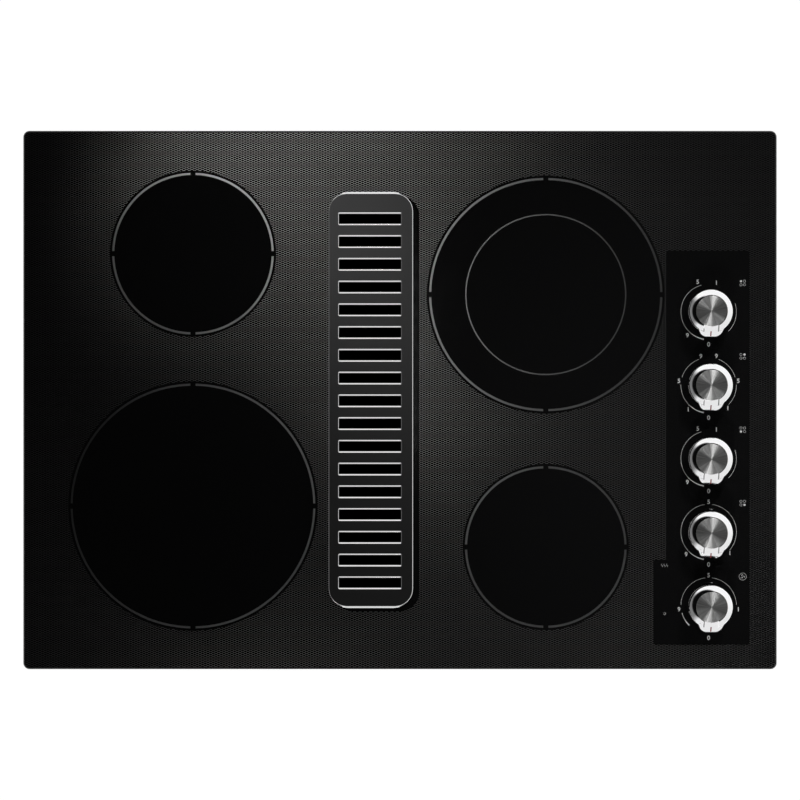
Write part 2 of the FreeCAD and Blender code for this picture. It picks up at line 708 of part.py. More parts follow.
def vent_gasket():
    outer = vent_block(grown(plenum_neck, NECK_TOP_FLANGE), plenum_radius + NECK_TOP_FLANGE,
                       plenum_top, glass_bottom)
    return outer.cut(vent_block(grown(plenum_neck, -SHEET), plenum_radius - SHEET, plenum_top, glass_bottom))


def scroll_solid(grow, x0, x1, bottom):
    """The blower's volute: three quarter arcs of growing radius, then a straight outlet downwards."""
    half = SCROLL_STEP / 2
    radii = [scroll_radius + grow, scroll_radius + SCROLL_STEP + grow, scroll_radius + 2 * SCROLL_STEP + grow]
    centres = [(-half, half), (half, half), (half, -half)]

    def on_arc(index, degrees):
        angle = math.radians(degrees)
        y = centres[index][0] + radii[index] * math.cos(angle)
        z = axis_z + centres[index][1] + radii[index] * math.sin(angle)
        return vec(x0, y, z)

    tongue = vec(x0, -half - grow, axis_z + half - math.sqrt(radii[0] ** 2 - grow ** 2))
    back_corner = vec(x0, outlet_back + grow, bottom)
    front_corner = vec(x0, outlet_front - grow, bottom)
    edges = [
        Part.Arc(tongue, on_arc(0, 225), on_arc(0, 180)).toShape(),
        Part.Arc(on_arc(1, 180), on_arc(1, 135), on_arc(1, 90)).toShape(),
        Part.Arc(on_arc(2, 90), on_arc(2, 45), on_arc(2, 0)).toShape(),
        Part.LineSegment(on_arc(2, 0), back_corner).toShape(),
        Part.LineSegment(back_corner, front_corner).toShape(),
        Part.LineSegment(front_corner, tongue).toShape(),
    ]
    return Part.Face(Part.Wire(edges)).extrude(vec(x1 - x0, 0, 0))


def blower_inlet_plate():
    plate = scroll_solid(SCROLL_FLANGE, inlet_x, scroll_x, outlet_z)
    lip = rod_along_x(inlet_x, scroll_x + INLET_LIP, 0, axis_z, INLET_RADIUS + SHEET)
    bore = rod_along_x(inlet_x, scroll_x + INLET_LIP, 0, axis_z, INLET_RADIUS)
    return fused(plate, [lip]).cut(bore)


def blower_scroll():
    outside = scroll_solid(SHEET, scroll_x, motor_plate_x, outlet_z)
    return outside.cut(scroll_solid(0, scroll_x, motor_plate_x, outlet_z - SHEET))


def leg_spot(index, radius):
    angle = math.radians(90 + index * 360 / LEG_COUNT)
    return radius * math.cos(angle), axis_z + radius * math.sin(angle)


def blower_motor_plate():
    end = motor_plate_x + SHEET
    plate = scroll_solid(SCROLL_FLANGE, motor_plate_x, end, outlet_z)
    cuts = [rod_along_x(motor_plate_x, end, 0, axis_z, MOTOR_HOLE_RADIUS)]
    for index in range(LEG_COUNT):
        y, z = leg_spot(index, leg_screw_radius)
        cuts.append(rod_along_x(motor_plate_x, end, y, z, screw_hole))
    return plate.cut(cuts)


def blade_face(index, x):
    """One forward-curved blade, drawn as two arcs a blade's thickness apart."""
    start = 2 * math.pi * index / BLADE_COUNT
    sweep = math.radians(BLADE_SWEEP)
    inner = WHEEL_INNER_RADIUS
    outer = WHEEL_RADIUS - BLADE_THICKNESS / 4
    middle = (inner + outer) / 2

    def spot(radius, share, side):
        angle = start + sweep * share + side * BLADE_THICKNESS / radius
        return vec(x, radius * math.cos(angle), axis_z + radius * math.sin(angle))

    near = [spot(inner, 0, 0), spot(middle, 0.3, 0), spot(outer, 1, 0)]
    far = [spot(outer, 1, 1), spot(middle, 0.3, 1), spot(inner, 0, 1)]
    edges = [
        Part.Arc(*near).toShape(),
        Part.LineSegment(near[2], far[0]).toShape(),
        Part.Arc(*far).toShape(),
        Part.LineSegment(far[2], near[0]).toShape(),
    ]
    return Part.Face(Part.Wire(edges))


def blower_wheel():
    end = wheel_x + WHEEL_WIDTH
    back = rod_along_x(end - WHEEL_DISC, end, 0, axis_z, WHEEL_RADIUS)
    hub = rod_along_x(end - WHEEL_HUB_LENGTH, end, 0, axis_z, WHEEL_HUB_RADIUS)
    ring = rod_along_x(wheel_x, wheel_x + WHEEL_RING, 0, axis_z, WHEEL_RADIUS)
    ring = ring.cut(rod_along_x(wheel_x, wheel_x + WHEEL_RING, 0, axis_z, WHEEL_RADIUS - WHEEL_RING))
    overlap = WHEEL_DISC / 2
    blade_length = WHEEL_WIDTH - WHEEL_RING - WHEEL_DISC + 2 * overlap
    blades = []
    for index in range(BLADE_COUNT):
        face = blade_face(index, wheel_x + WHEEL_RING - overlap)
        blades.append(face.extrude(vec(blade_length, 0, 0)))
    bore = rod_along_x(end - WHEEL_HUB_LENGTH, end, 0, axis_z, MOTOR_SHAFT_RADIUS + SHAFT_RUNNING_CLEARANCE)
    return fused(back, [hub, ring] + blades).cut(bore)


def motor_shaft():
    start = wheel_x + WHEEL_WIDTH - WHEEL_HUB_LENGTH
    return rod_along_x(start, motor_x + MOTOR_LENGTH + MOTOR_SHAFT_TAIL, 0, axis_z, MOTOR_SHAFT_RADIUS)


def motor_can():
    end = motor_x + MOTOR_LENGTH
    can = rod_along_x(motor_x, end, 0, axis_z, MOTOR_RADIUS)
    rims = [edge for edge in can.Edges if edge.BoundBox.XLength < SHEET]
    can = can.makeFillet(MOTOR_EDGE_ROUND, rims)
    return can.cut(rod_along_x(motor_x, end, 0, axis_z, MOTOR_SHAFT_RADIUS + SHAFT_RUNNING_CLEARANCE))


def motor_legs():
    """A band round the motor with three arms that end in feet on the motor plate."""
    inner = MOTOR_RADIUS + BAND_FIT
    middle = motor_x + MOTOR_LENGTH / 2
    band = rod_along_x(middle - BAND_WIDTH / 2, middle + BAND_WIDTH / 2, 0, axis_z, inner + BAND_THICKNESS)
    arms = []
    for index in range(LEG_COUNT):
        half = LEG_WIDTH / 2
        arm = block(legs_x, middle, -half, half, axis_z + inner, axis_z + inner + BAND_THICKNESS)
        foot = block(legs_x, legs_x + BAND_THICKNESS, -half, half, axis_z + inner, axis_z + inner + LEG_FOOT)
        hole = rod_along_x(legs_x, legs_x + BAND_THICKNESS, 0, axis_z + leg_screw_radius, screw_hole)
        leg = arm.fuse(foot).cut(hole)
        leg.rotate(vec(0, 0, axis_z), vec(1, 0, 0), index * 360 / LEG_COUNT)
        arms.append(leg)
    bore = rod_along_x(legs_x, middle + BAND_WIDTH, 0, axis_z, inner)
    return fused(band, arms).cut(bore)


def motor_grommets():
    rings = []
    for index in range(LEG_COUNT):
        y, z = leg_spot(index, leg_screw_radius)
        ring = rod_along_x(motor_plate_x + SHEET, legs_x, y, z, GROMMET_RADIUS)
        rings.append(ring.cut(rod_along_x(motor_plate_x + SHEET, legs_x, y, z, screw_hole)))
    return Part.makeCompound(rings)


def motor_capacitor():
    y = MOTOR_RADIUS + CAPACITOR_SIDE_GAP + CAPACITOR_RADIUS
    start = motor_plate_x + SHEET
    can = rod_along_x(start, start + CAPACITOR_LENGTH, y, axis_z + CAPACITOR_RISE, CAPACITOR_RADIUS)
    end_edges = [edge for edge in can.Edges if edge.BoundBox.XMin > start + CAPACITOR_LENGTH - SHEET]
    return can.makeFillet(3 * SHEET, end_edges)


def outlet_corners(grow, z):
    half = scroll_width / 2 + grow
    front = outlet_front - grow
    back = outlet_back + grow
    return [
        vec(outlet_x - half, front, z),
        vec(outlet_x + half, front, z),
        vec(outlet_x + half, back, z),
        vec(outlet_x - half, back, z),
    ]


def outlet_rectangle(grow, z):
    corners = outlet_corners(grow, z)
    return Part.makePolygon(corners + [corners[0]])


def outlet_circle(radius, z):
    """A circle in four arcs that start at the outlet rectangle's corner directions."""
    corner = math.degrees(math.atan2(outlet_back - outlet_front, scroll_width))
    turns = [corner - 180, -corner, corner, 180 - corner, 180 + corner]
    edges = []
    for start, end in zip(turns, turns[1:]):
        points = []
        for turn in (start, (start + end) / 2, end):
            angle = math.radians(turn)
            points.append(vec(outlet_x + radius * math.cos(angle), outlet_y + radius * math.sin(angle), z))
        edges.append(Part.Arc(*points).toShape())
    return Part.Wire(edges)


def outlet_hood(grow, radius, z):
    """The solid between the outlet rectangle at height z and the circle where the collar starts."""
    return Part.makeLoft([outlet_rectangle(grow, z), outlet_circle(radius, round_top)], True, True)


def outlet_transition():
    """A flange under the volute, a square-to-round hood and the round duct collar."""
    hood_top = outlet_z - SHEET
    outside = outlet_hood(SHEET, DUCT_RADIUS, hood_top)
    inside = outlet_hood(0, DUCT_RADIUS - SHEET, hood_top)
    flange = Part.Face(outlet_rectangle(OUTLET_FLANGE, hood_top)).extrude(vec(0, 0, SHEET))
    mouth = Part.Face(outlet_rectangle(0, hood_top)).extrude(vec(0, 0, SHEET))
    collar = disc(outlet_x, outlet_y, DUCT_RADIUS, duct_bottom, round_top)
    bore = disc(outlet_x, outlet_y, DUCT_RADIUS - SHEET, duct_bottom, round_top)
    return fused(outside, [flange, collar]).cut([inside, mouth, bore])


def element_dish(name):
    ring, x, y, turn, inner = ELEMENTS[name]
    radius = ring + DISH_MARGIN
    cup = disc(x, y, radius, dish_bottom, dish_bottom + DISH_DEPTH)
    return cup.cut(disc(x, y, radius - DISH_SHEET, dish_bottom + DISH_SHEET, dish_bottom + DISH_DEPTH))


def limiter_path(name, radius, width, z0, z1):
    """A straight passage from the element's middle out past its rim, towards the limiter head."""
    ring, x, y, turn, inner = ELEMENTS[name]
    passage = block(x, x + radius, y - width / 2, y + width / 2, z0, z1)
    passage.rotate(vec(x, y, 0), vec(0, 0, 1), turn)
    return passage


def element_insulation(name):
    ring, x, y, turn, inner = ELEMENTS[name]
    radius = ring + DISH_MARGIN - DISH_SHEET - INSULATION_FIT
    bottom = dish_bottom + DISH_SHEET
    pad = disc(x, y, radius, bottom, glass_bottom)
    hollow = disc(x, y, radius - INSULATION_RIM, insulation_floor, glass_bottom)
    if inner:
        half = DIVIDER_THICKNESS / 2
        divider = disc(x, y, inner + half, insulation_floor, glass_bottom - 2 * LIMITER_ROD_DROP)
        divider = divider.cut(disc(x, y, inner - half, insulation_floor, glass_bottom))
        hollow = hollow.cut(divider)
    width = 2 * (LIMITER_ROD_RADIUS + LIMITER_NOTCH_CLEARANCE)
    rod_z = glass_bottom - LIMITER_ROD_DROP
    notch = limiter_path(name, ring + 2 * DISH_MARGIN, width, rod_z - width / 2, glass_bottom)
    return pad.cut([hollow, notch])


def ribbon_loop(x, y, radius, start, end):
    """A strip of heating ribbon on edge, following an arc between two angles in degrees."""
    strip = Part.makeCylinder(radius + RIBBON_THICKNESS / 2, RIBBON_HEIGHT, vec(x, y, insulation_floor),
                              vec(0, 0, 1), end - start)
    core = Part.makeCylinder(radius - RIBBON_THICKNESS / 2, RIBBON_HEIGHT, vec(x, y, insulation_floor))
    strip.rotate(vec(x, y, 0), vec(0, 0, 1), start)
    return strip.cut(core)


def arc_end(radius, side):
    """Where an open ribbon arc stops, beside the element's centre."""
    angle = side * RIBBON_BREAK / 2 / radius
    return vec(radius * math.cos(angle), radius * math.sin(angle), 0)


def serpentine_ribbon(x, y, turn, inner, outer):
    """One unbroken ribbon: open arcs from the inside out, joined by short links at alternate ends."""
    count = max(1, int((outer - inner) / RIBBON_PITCH) + 1)
    radii = [inner + index * RIBBON_PITCH for index in range(count)]
    pieces = []
    for index, radius in enumerate(radii):
        opening = math.degrees(RIBBON_BREAK / 2 / radius)
        pieces.append(ribbon_loop(x, y, radius, turn + opening, turn + 360 - opening))
    for index in range(count - 1):
        side = 1 if index % 2 else -1
        ends = [arc_end(radius, side) for radius in radii[index:index + 2]]
        pieces.append(straight_strip(x, y, turn, ends[0], ends[1]))
    return fused(pieces[0], pieces[1:]) if len(pieces) > 1 else pieces[0]


def straight_strip(x, y, turn, near, far):
    """A straight length of ribbon between two points beside the element's centre."""
    along = (far - near).normalize()
    across = vec(-along.y, along.x, 0) * (RIBBON_THICKNESS / 2)
    stretch = along * (RIBBON_THICKNESS / 2)
    start = near - stretch
    end = far + stretch
    corners = [start + across, end + across, end - across, start - across, start + across]
    strip = Part.Face(Part.makePolygon(corners)).extrude(vec(0, 0, RIBBON_HEIGHT))
    strip.rotate(vec(0, 0, 0), vec(0, 0, 1), turn)
    strip.translate(vec(x, y, insulation_floor))
    return strip


def element_ribbon(name):
    ring, x, y, turn, inner = ELEMENTS[name]
    rim = ring + DISH_MARGIN - DISH_SHEET - INSULATION_RIM - RIBBON_RIM_GAP
    if not inner:
        return serpentine_ribbon(x, y, turn, RIBBON_CENTRE_RADIUS, rim)
    gap = DIVIDER_THICKNESS / 2 + RIBBON_RIM_GAP
    middle = serpentine_ribbon(x, y, turn, RIBBON_CENTRE_RADIUS, inner - gap)
    outer = serpentine_ribbon(x, y, turn, inner + gap, rim)
    return Part.makeCompound([middle, outer])


def element_limiters():
    """A sensing rod across each element and its ceramic head outside the dish."""
    pieces = []
    for name, (ring, x, y, turn, inner) in ELEMENTS.items():
        rim = ring + DISH_MARGIN + LIMITER_HEAD_GAP
        rod_z = glass_bottom - LIMITER_ROD_DROP
        far = ring + DISH_MARGIN - INSULATION_RIM - 2 * RIBBON_RIM_GAP
        rod = rod_along_x(x - far, x + rim, y, rod_z, LIMITER_ROD_RADIUS)
        head = block(x + rim, x + rim + LIMITER_HEAD_LENGTH, y - LIMITER_HEAD_WIDTH / 2,
                     y + LIMITER_HEAD_WIDTH / 2, rod_z + 2 * LIMITER_ROD_RADIUS - LIMITER_HEAD_HEIGHT,
                     rod_z + LIMITER_ROD_RADIUS)
        for piece in (rod, head):
            piece.rotate(vec(x, y, 0), vec(0, 0, 1), turn)
            pieces.append(piece)
    return Part.makeCompound(pieces)


def element_support_bars():
    """Hat-section bars on the box floor, from front to back under each pair of elements."""
    bars = []
    front = box_front + SHEET + BAR_END_CLEARANCE
    back = box_back - SHEET - BAR_END_CLEARANCE
    half = BAR_WIDTH / 2
    for column in bar_columns():
        outer = block(column - half, column + half, front, back, floor_top, bar_top)
        reach = half + BAR_FOOT
        feet = block(column - reach, column + reach, front, back, floor_top, floor_top + SHEET)
        inner = block(column - half + SHEET, column + half - SHEET, front, back, floor_top, bar_top - SHEET)
        cuts = [inner]
        for x, y in bar_screw_points():
            cuts.append(drill_up(x, y, floor_top, floor_top + SHEET))
        bars.append(fused(outer, [feet]).cut(cuts))
    return Part.makeCompound(bars)


def element_springs():
    """Arched leaf springs that press each dish up against the glass."""
    rise = SPRING_HEIGHT - SPRING_TOUCH_GAP
    half = SPRING_SPAN / 2
    radius = (half ** 2 + rise ** 2) / (2 * rise)
    leaves = []
    for ring, x, y, turn, inner in ELEMENTS.values():
        for side in (-1, 1):
            spot = y + side * SPRING_OFFSET
            centre_z = bar_top + rise - radius
            left = x - SPRING_WIDTH / 2
            right = x + SPRING_WIDTH / 2
            arch = rod_along_x(left, right, spot, centre_z, radius)
            arch = arch.cut(rod_along_x(left, right, spot, centre_z, radius - SPRING_SHEET))
            above = block(left, right, spot - half, spot + half, bar_top, dish_bottom)
            leaves.append(arch.common(above))
    return Part.makeCompound(leaves)


def switch_bracket():
    """A raised shelf for the switches, with a leg and foot at each end and a tab for the lamps."""
    front, back = bracket_ends()
    left = knob_x - BRACKET_HALF_WIDTH
    right = knob_x + BRACKET_HALF_WIDTH
    shelf = block(left, right, front, back, bracket_bottom, bracket_top)
    tab_left = knob_x - LAMP_SIDE_OFFSET - LAMP_RADIUS - LAMP_TAB_MARGIN
    reach = LAMP_PITCH / 2 + LAMP_RADIUS + LAMP_TAB_MARGIN
    pieces = [block(tab_left, left, fan_y - reach, fan_y + reach, bracket_bottom, bracket_top)]
    for end, inward in ((front, 1), (back, -1)):
        leg = sorted((end, end + inward * BRACKET_SHEET))
        foot = sorted((end, end + inward * (BRACKET_SHEET + BRACKET_FOOT)))
        pieces.append(block(left, right, leg[0], leg[1], floor_top, bracket_top))
        pieces.append(block(left, right, foot[0], foot[1], floor_top, floor_top + BRACKET_SHEET))
    cuts = []
    for y in knob_y.values():
        cuts.append(disc(knob_x, y, SHAFT_RADIUS + SHAFT_BRACKET_CLEARANCE, bracket_bottom, bracket_top))
    for x, y in bracket_screw_points():
        cuts.append(drill_up(x, y, floor_top, floor_top + BRACKET_SHEET))
    return fused(shelf, pieces).cut(cuts)


def d_section(y, clearance, z0, z1):
    """A round shaft or bore with one flat, on the knob line."""
    radius = SHAFT_RADIUS + clearance
    stock = disc(knob_x, y, radius, z0, z1)
    flat = block(knob_x - 2 * radius, knob_x + 2 * radius, y + SHAFT_FLAT + clearance, y + 2 * radius, z0, z1)
    return stock.cut(flat)


def switch_bodies():
    """Open-bottomed switch housings hung under the bracket, one for each element."""
    bodies = []
    cavity = max(CAM_HUB_RADIUS, CAM_LOBE_OFFSET + CAM_LOBE_RADIUS) + CAM_CLEARANCE
    for name in SWITCHES:
        y = knob_y[name]
        body = block(knob_x - SWITCH_WIDTH / 2, knob_x + SWITCH_WIDTH / 2, y - SWITCH_LENGTH / 2,
                     y + SWITCH_LENGTH / 2, base_top, bracket_bottom)
        hollow = disc(knob_x, y, cavity, base_top, bracket_bottom - SWITCH_TOP)
        bore = disc(knob_x, y, SHAFT_RADIUS + SHAFT_CLEARANCE, base_top, bracket_bottom)
        bodies.append(body.cut([hollow, bore]))
    return Part.makeCompound(bodies)


def switch_bases():
    """Terminal plates that close the switch housings."""
    bases = []
    for name in SWITCHES:
        y = knob_y[name]
        plate = block(knob_x - SWITCH_WIDTH / 2, knob_x + SWITCH_WIDTH / 2, y - SWITCH_LENGTH / 2,
                      y + SWITCH_LENGTH / 2, switch_bottom, base_top)
        blades = []
        for side_x in (-TERMINAL_SPREAD, 0, TERMINAL_SPREAD):
            for side_y in (-TERMINAL_SPREAD, TERMINAL_SPREAD):
                x = knob_x + side_x
                blade_y = y + side_y
                blades.append(block(x - TERMINAL_THICKNESS / 2, x + TERMINAL_THICKNESS / 2,
                                    blade_y - TERMINAL_WIDTH / 2, blade_y + TERMINAL_WIDTH / 2,
                                    switch_bottom - TERMINAL_LENGTH, switch_bottom))
        bases.append(fused(plate, blades))
    return Part.makeCompound(bases)


def switch_cam(name):
    y = knob_y[name]
    bottom = base_top + CAM_CLEARANCE
    top = bracket_bottom - SWITCH_TOP - CAM_CLEARANCE
    hub = disc(knob_x, y, CAM_HUB_RADIUS, bottom, top)
    lobe = disc(knob_x + CAM_LOBE_OFFSET, y, CAM_LOBE_RADIUS, bottom, top)
    return fused(hub, [lobe]).cut(d_section(y, SHAFT_CLEARANCE, bottom, top))


def fan_control():
    y = knob_y["fan"]
    bottom = bracket_bottom - FAN_CONTROL_HEIGHT
    body = disc(knob_x, y, FAN_CONTROL_RADIUS, bottom, bracket_bottom)
    blades = []
    for side in (-1, 0, 1):
        x = knob_x + side * FAN_CONTROL_RADIUS / 2
        half = TERMINAL_WIDTH / 4
        tip = y - FAN_CONTROL_RADIUS - TERMINAL_LENGTH
        blades.append(block(x - half, x + half, tip, y - FAN_CONTROL_RADIUS / 2,
                            bottom, bottom + TERMINAL_THICKNESS))
    bore = disc(knob_x, y, SHAFT_RADIUS + SHAFT_CLEARANCE, bottom + SWITCH_BASE, bracket_bottom)
    return fused(body, blades).cut(bore)


def knob_shaft(name):
    y = knob_y[name]
    seat = base_top if name in SWITCHES else bracket_bottom - FAN_CONTROL_HEIGHT + SWITCH_BASE
    travel = PUSH_TRAVEL if name in SWITCHES else 0
    return d_section(y, 0, seat + travel + SHAFT_END_GAP, knob_bottom + SHAFT_IN_KNOB)


def shaft_seals():
    """Soft rings that close the glass holes round the shafts."""
    rings = []
    low = glass_bottom - SEAL_RING_SHEET
    for y in knob_y.values():
        sleeve = disc(knob_x, y, SEAL_RING_RADIUS, low, glass_top)
        flange = disc(knob_x, y, SEAL_RING_RADIUS + SEAL_RING_FLANGE, low, glass_bottom)
        bore = disc(knob_x, y, SHAFT_RADIUS + SEAL_RING_CLEARANCE, low, glass_top)
        rings.append(fused(sleeve, [flange]).cut(bore))
    return Part.makeCompound(rings)


def knob_crown_radius():
    return CAP_RADIUS + CAP_CLEARANCE + KNOB_RIM


def knob_turned_body(y):
    """The knob's round part: a tapered wall, a rounded edge and a gently domed shoulder."""
    crown = knob_crown_radius()
    outer = math.radians(KNOB_SHOULDER_OUTER_TILT)
    inner = math.radians(KNOB_SHOULDER_INNER_TILT)
    upright = math.pi / 2
    dome = (KNOB_SHOULDER_RADIUS - crown) / (math.sin(outer) - math.sin(inner))
    shoulder_z = knob_top + dome * (math.cos(outer) - math.cos(inner))

    def spot(radius, z):
        return vec(knob_x + radius, y, z)

    def on_shoulder(tilt):
        return spot(crown + dome * (math.sin(tilt) - math.sin(inner)),
                    knob_top + dome * (math.cos(tilt) - math.cos(inner)))

    def on_edge(tilt):
        return spot(KNOB_SHOULDER_RADIUS + KNOB_EDGE_ROUND * (math.sin(tilt) - math.sin(outer)),
                    shoulder_z + KNOB_EDGE_ROUND * (math.cos(tilt) - math.cos(outer)))

    base_low = spot(KNOB_BASE_RADIUS, knob_bottom)
    base_high = spot(KNOB_BASE_RADIUS, knob_bottom + KNOB_BASE_EDGE)
    edges = [
        Part.LineSegment(spot(0, knob_bottom), base_low).toShape(),
        Part.LineSegment(base_low, base_high).toShape(),
        Part.LineSegment(base_high, on_edge(upright)).toShape(),
        Part.Arc(on_edge(upright), on_edge((upright + outer) / 2), on_edge(outer)).toShape(),
        Part.Arc(on_shoulder(outer), on_shoulder((outer + inner) / 2), on_shoulder(inner)).toShape(),
        Part.LineSegment(on_shoulder(inner), spot(0, knob_top)).toShape(),
        Part.LineSegment(spot(0, knob_top), spot(0, knob_bottom)).toShape(),
    ]
    return Part.Face(Part.Wire(edges)).revolve(vec(knob_x, y, 0), vec(0, 0, 1), 360)


def pointer_wedge(y, width):
    """The space above the pointer's sloping top, which falls from the crown to the tip and on past it."""
    crown = knob_crown_radius()
    slope_top = knob_top - POINTER_TOP_DROP
    far = crown + 2 * (POINTER_REACH - crown)
    slope_end = slope_top - 2 * (POINTER_TIP_DROP - POINTER_TOP_DROP)
    roof = knob_top + POINTER_TIP_DROP
    side = [(-crown, slope_top), (-far, slope_end), (-far, roof), (-crown, roof), (-crown, slope_top)]
    points = [vec(knob_x - width / 2, y + run, z) for run, z in side]
    return Part.Face(Part.makePolygon(points)).extrude(vec(width, 0, 0))


def knob_pointer(y):
    """The tab towards the front: it narrows to a rounded tip, and its top slopes down from the crown."""
    tip = POINTER_TIP_WIDTH / 2
    root = POINTER_ROOT_WIDTH / 2
    root_run = math.sqrt(KNOB_SHOULDER_RADIUS ** 2 - root ** 2)
    tip_run = math.sqrt(POINTER_REACH ** 2 - tip ** 2)
    plan = [(-root, -root_run), (-tip, -POINTER_REACH), (tip, -POINTER_REACH), (root, -root_run),
            (-root, -root_run)]
    outline = Part.makePolygon([vec(knob_x + px, y + py, knob_bottom) for px, py in plan])
    tab = Part.Face(outline).extrude(vec(0, 0, KNOB_HEIGHT))
    tab = tab.common(disc(knob_x, y, POINTER_REACH, knob_bottom, knob_top))
    middle = y - (root_run + tip_run) / 2
    corners = [e for e in tab.Edges if e.BoundBox.ZLength > KNOB_HEIGHT / 2 and e.BoundBox.YMax < middle]
    tab = tab.makeFillet(POINTER_CORNER_ROUND, corners)
    return tab.cut(pointer_wedge(y, 2 * POINTER_ROOT_WIDTH))


def knob(name):
    y = knob_y[name]
    turned = knob_turned_body(y).cut(pointer_wedge(y, POINTER_FACET_WIDTH))
    body = fused(turned, [knob_pointer(y)])
    roof = knob_bottom + KNOB_HOLLOW_DEPTH
    hollow = disc(knob_x, y, knob_crown_radius() - KNOB_HOLLOW_WALL, knob_bottom, roof)
    hollow = hollow.cut(disc(knob_x, y, KNOB_HUB_RADIUS, knob_bottom, roof))
    bore = d_section(y, SHAFT_CLEARANCE, knob_bottom, knob_bottom + SHAFT_IN_KNOB + SHAFT_CLEARANCE)
    seat = disc(knob_x, y, CAP_RADIUS + CAP_CLEARANCE, knob_top - CAP_THICKNESS, knob_top)
    return body.cut([hollow, bore, seat])


def knob_cap(name):
    """A spun metal disc in the knob's top, very slightly domed."""
    y = knob_y[name]
    dome = (CAP_RADIUS ** 2 + CAP_DOME ** 2) / (2 * CAP_DOME)
    ball = Part.makeSphere(dome, vec(knob_x, y, knob_top + CAP_DOME - dome))
    return disc(knob_x, y, CAP_RADIUS, knob_top - CAP_THICKNESS, knob_top + 2 * CAP_DOME).common(ball)


def indicator_lamps():
    lamps = []
    x = knob_x - LAMP_SIDE_OFFSET
    for side in (-1, 1):
        y = fan_y + side * LAMP_PITCH / 2
        lamp = disc(x, y, LAMP_RADIUS, bracket_top, glass_bottom - LAMP_GLASS_GAP)
        top = [edge for edge in lamp.Edges if edge.BoundBox.ZMin > bracket_top + LAMP_RADIUS]
        lamps.append(lamp.makeFillet(LAMP_RADIUS / 3, top))
    return Part.makeCompound(lamps)


def junction_box():
    """Five flat sheets welded at their edges: a top, two long sides and an end between them at each side."""
    left = junction_right - JUNCTION_WIDTH
    front = junction_back - JUNCTION_DEPTH
    low = junction_bottom + SHEET
    high = floor_bottom - SHEET
    end_front = front + SHEET
    end_back = junction_back - SHEET
    holes = [disc(junction_x, junction_y, GLAND_BORE_RADIUS, high, floor_bottom)]
    for x, y in junction_screw_points():
        holes.append(drill_up(x, y, high, floor_bottom))
    entry = rod_along_x(junction_right - SHEET, junction_right, junction_y, gland_z,
                        GLAND_BORE_RADIUS + GLAND_WALL + GLAND_CLEARANCE)
    return Part.makeCompound([
        block(left, junction_right, front, junction_back, high, floor_bottom).cut(holes),
        block(left, junction_right, front, end_front, low, high),
        block(left, junction_right, end_back, junction_back, low, high),
        block(left, left + SHEET, end_front, end_back, low, high),
        block(junction_right - SHEET, junction_right, end_front, end_back, low, high).cut(entry),
    ])


def junction_cover():
    left = junction_right - JUNCTION_WIDTH
    front = junction_back - JUNCTION_DEPTH
    return block(left, junction_right, front, junction_back, junction_bottom, junction_bottom + SHEET)


def conduit_gland():
    """A threaded connector through the junction box's right wall, with a nut on each side."""
    outer = GLAND_BORE_RADIUS + GLAND_WALL
    start = junction_right - SHEET - GLAND_NUT_HEIGHT
    end = junction_right + GLAND_LENGTH
    nut_end = junction_right + GLAND_NUT_HEIGHT
    tube = rod_along_x(start, end, junction_y, gland_z, outer)
    inner_nut = rod_along_x(start, junction_right - SHEET, junction_y, gland_z, GLAND_NUT_RADIUS)
    outer_nut = rod_along_x(junction_right, nut_end, junction_y, gland_z, GLAND_NUT_RADIUS)
    bore = rod_along_x(start, end, junction_y, gland_z, GLAND_BORE_RADIUS)
    return fused(tube, [inner_nut, outer_nut]).cut(bore)


def motor_lead():
    """The motor's lead: straight out of the junction box, round one bend and down into the motor."""
    x = motor_x + MOTOR_LENGTH - LEAD_END_INSET
    start = vec(x, junction_back - JUNCTION_DEPTH, gland_z)
    end = vec(x, 0, axis_z + MOTOR_RADIUS + LEAD_TOUCH_GAP)
    bend_start = vec(x, LEAD_BEND, gland_z)
    bend_end = vec(x, 0, gland_z - LEAD_BEND)
    short = LEAD_BEND * (1 - math.sqrt(0.5))
    bend_middle = vec(x, short, gland_z - short)
    route = Part.Wire([
        Part.LineSegment(start, bend_start).toShape(),
        Part.Arc(bend_start, bend_middle, bend_end).toShape(),
        Part.LineSegment(bend_end, end).toShape(),
    ])
    section = Part.Wire(Part.makeCircle(LEAD_RADIUS, start, vec(0, -1, 0)))
    return route.makePipeShell([section], True, False)


def clamp_screw_x(side):
    return wall_x(side) + side * (CLAMP_TAB - CLAMP_SCREW_INSET)


def clamp_brackets():
    """Angle brackets on the box's left and right walls, each with a tab for its clamp screw."""
    brackets = []
    half = CLAMP_WIDTH / 2
    tab_bottom = clamp_tab_top - CLAMP_SHEET
    for side in (-1, 1):
        wall = wall_x(side)
        leg = sorted((wall, wall + side * CLAMP_SHEET))
        tab = sorted((wall, wall + side * CLAMP_TAB))
        upright = block(leg[0], leg[1], -half, half, tab_bottom, clamp_tab_top + CLAMP_RISE)
        shelf = block(tab[0], tab[1], -half, half, tab_bottom, clamp_tab_top)
        angle = fused(upright, [shelf])
        cuts = [disc(clamp_screw_x(side), 0, CLAMP_SCREW_RADIUS + CLAMP_SCREW_CLEARANCE, tab_bottom,
                     clamp_tab_top)]
        for other, y, z in clamp_screw_points():
            if other == side:
                cuts.append(rod_along_x(leg[0], leg[1], y, z, screw_hole))
        brackets.append(angle.cut(cuts))
    return Part.makeCompound(brackets)


def clamp_screw(side):
    """A jack screw with a round pad that presses up against the counter's underside."""
    x = clamp_screw_x(side)
    tail = clamp_tab_top - CLAMP_SHEET - CLAMP_SCREW_TAIL
    rod = disc(x, 0, CLAMP_SCREW_RADIUS, tail, clamp_tip)
    pad = disc(x, 0, CLAMP_PAD_RADIUS, clamp_tip - CLAMP_PAD_HEIGHT, clamp_tip)
    head = disc(x, 0, CLAMP_PAD_RADIUS, tail - CLAMP_PAD_HEIGHT, tail)
    return fused(rod, [pad, head])


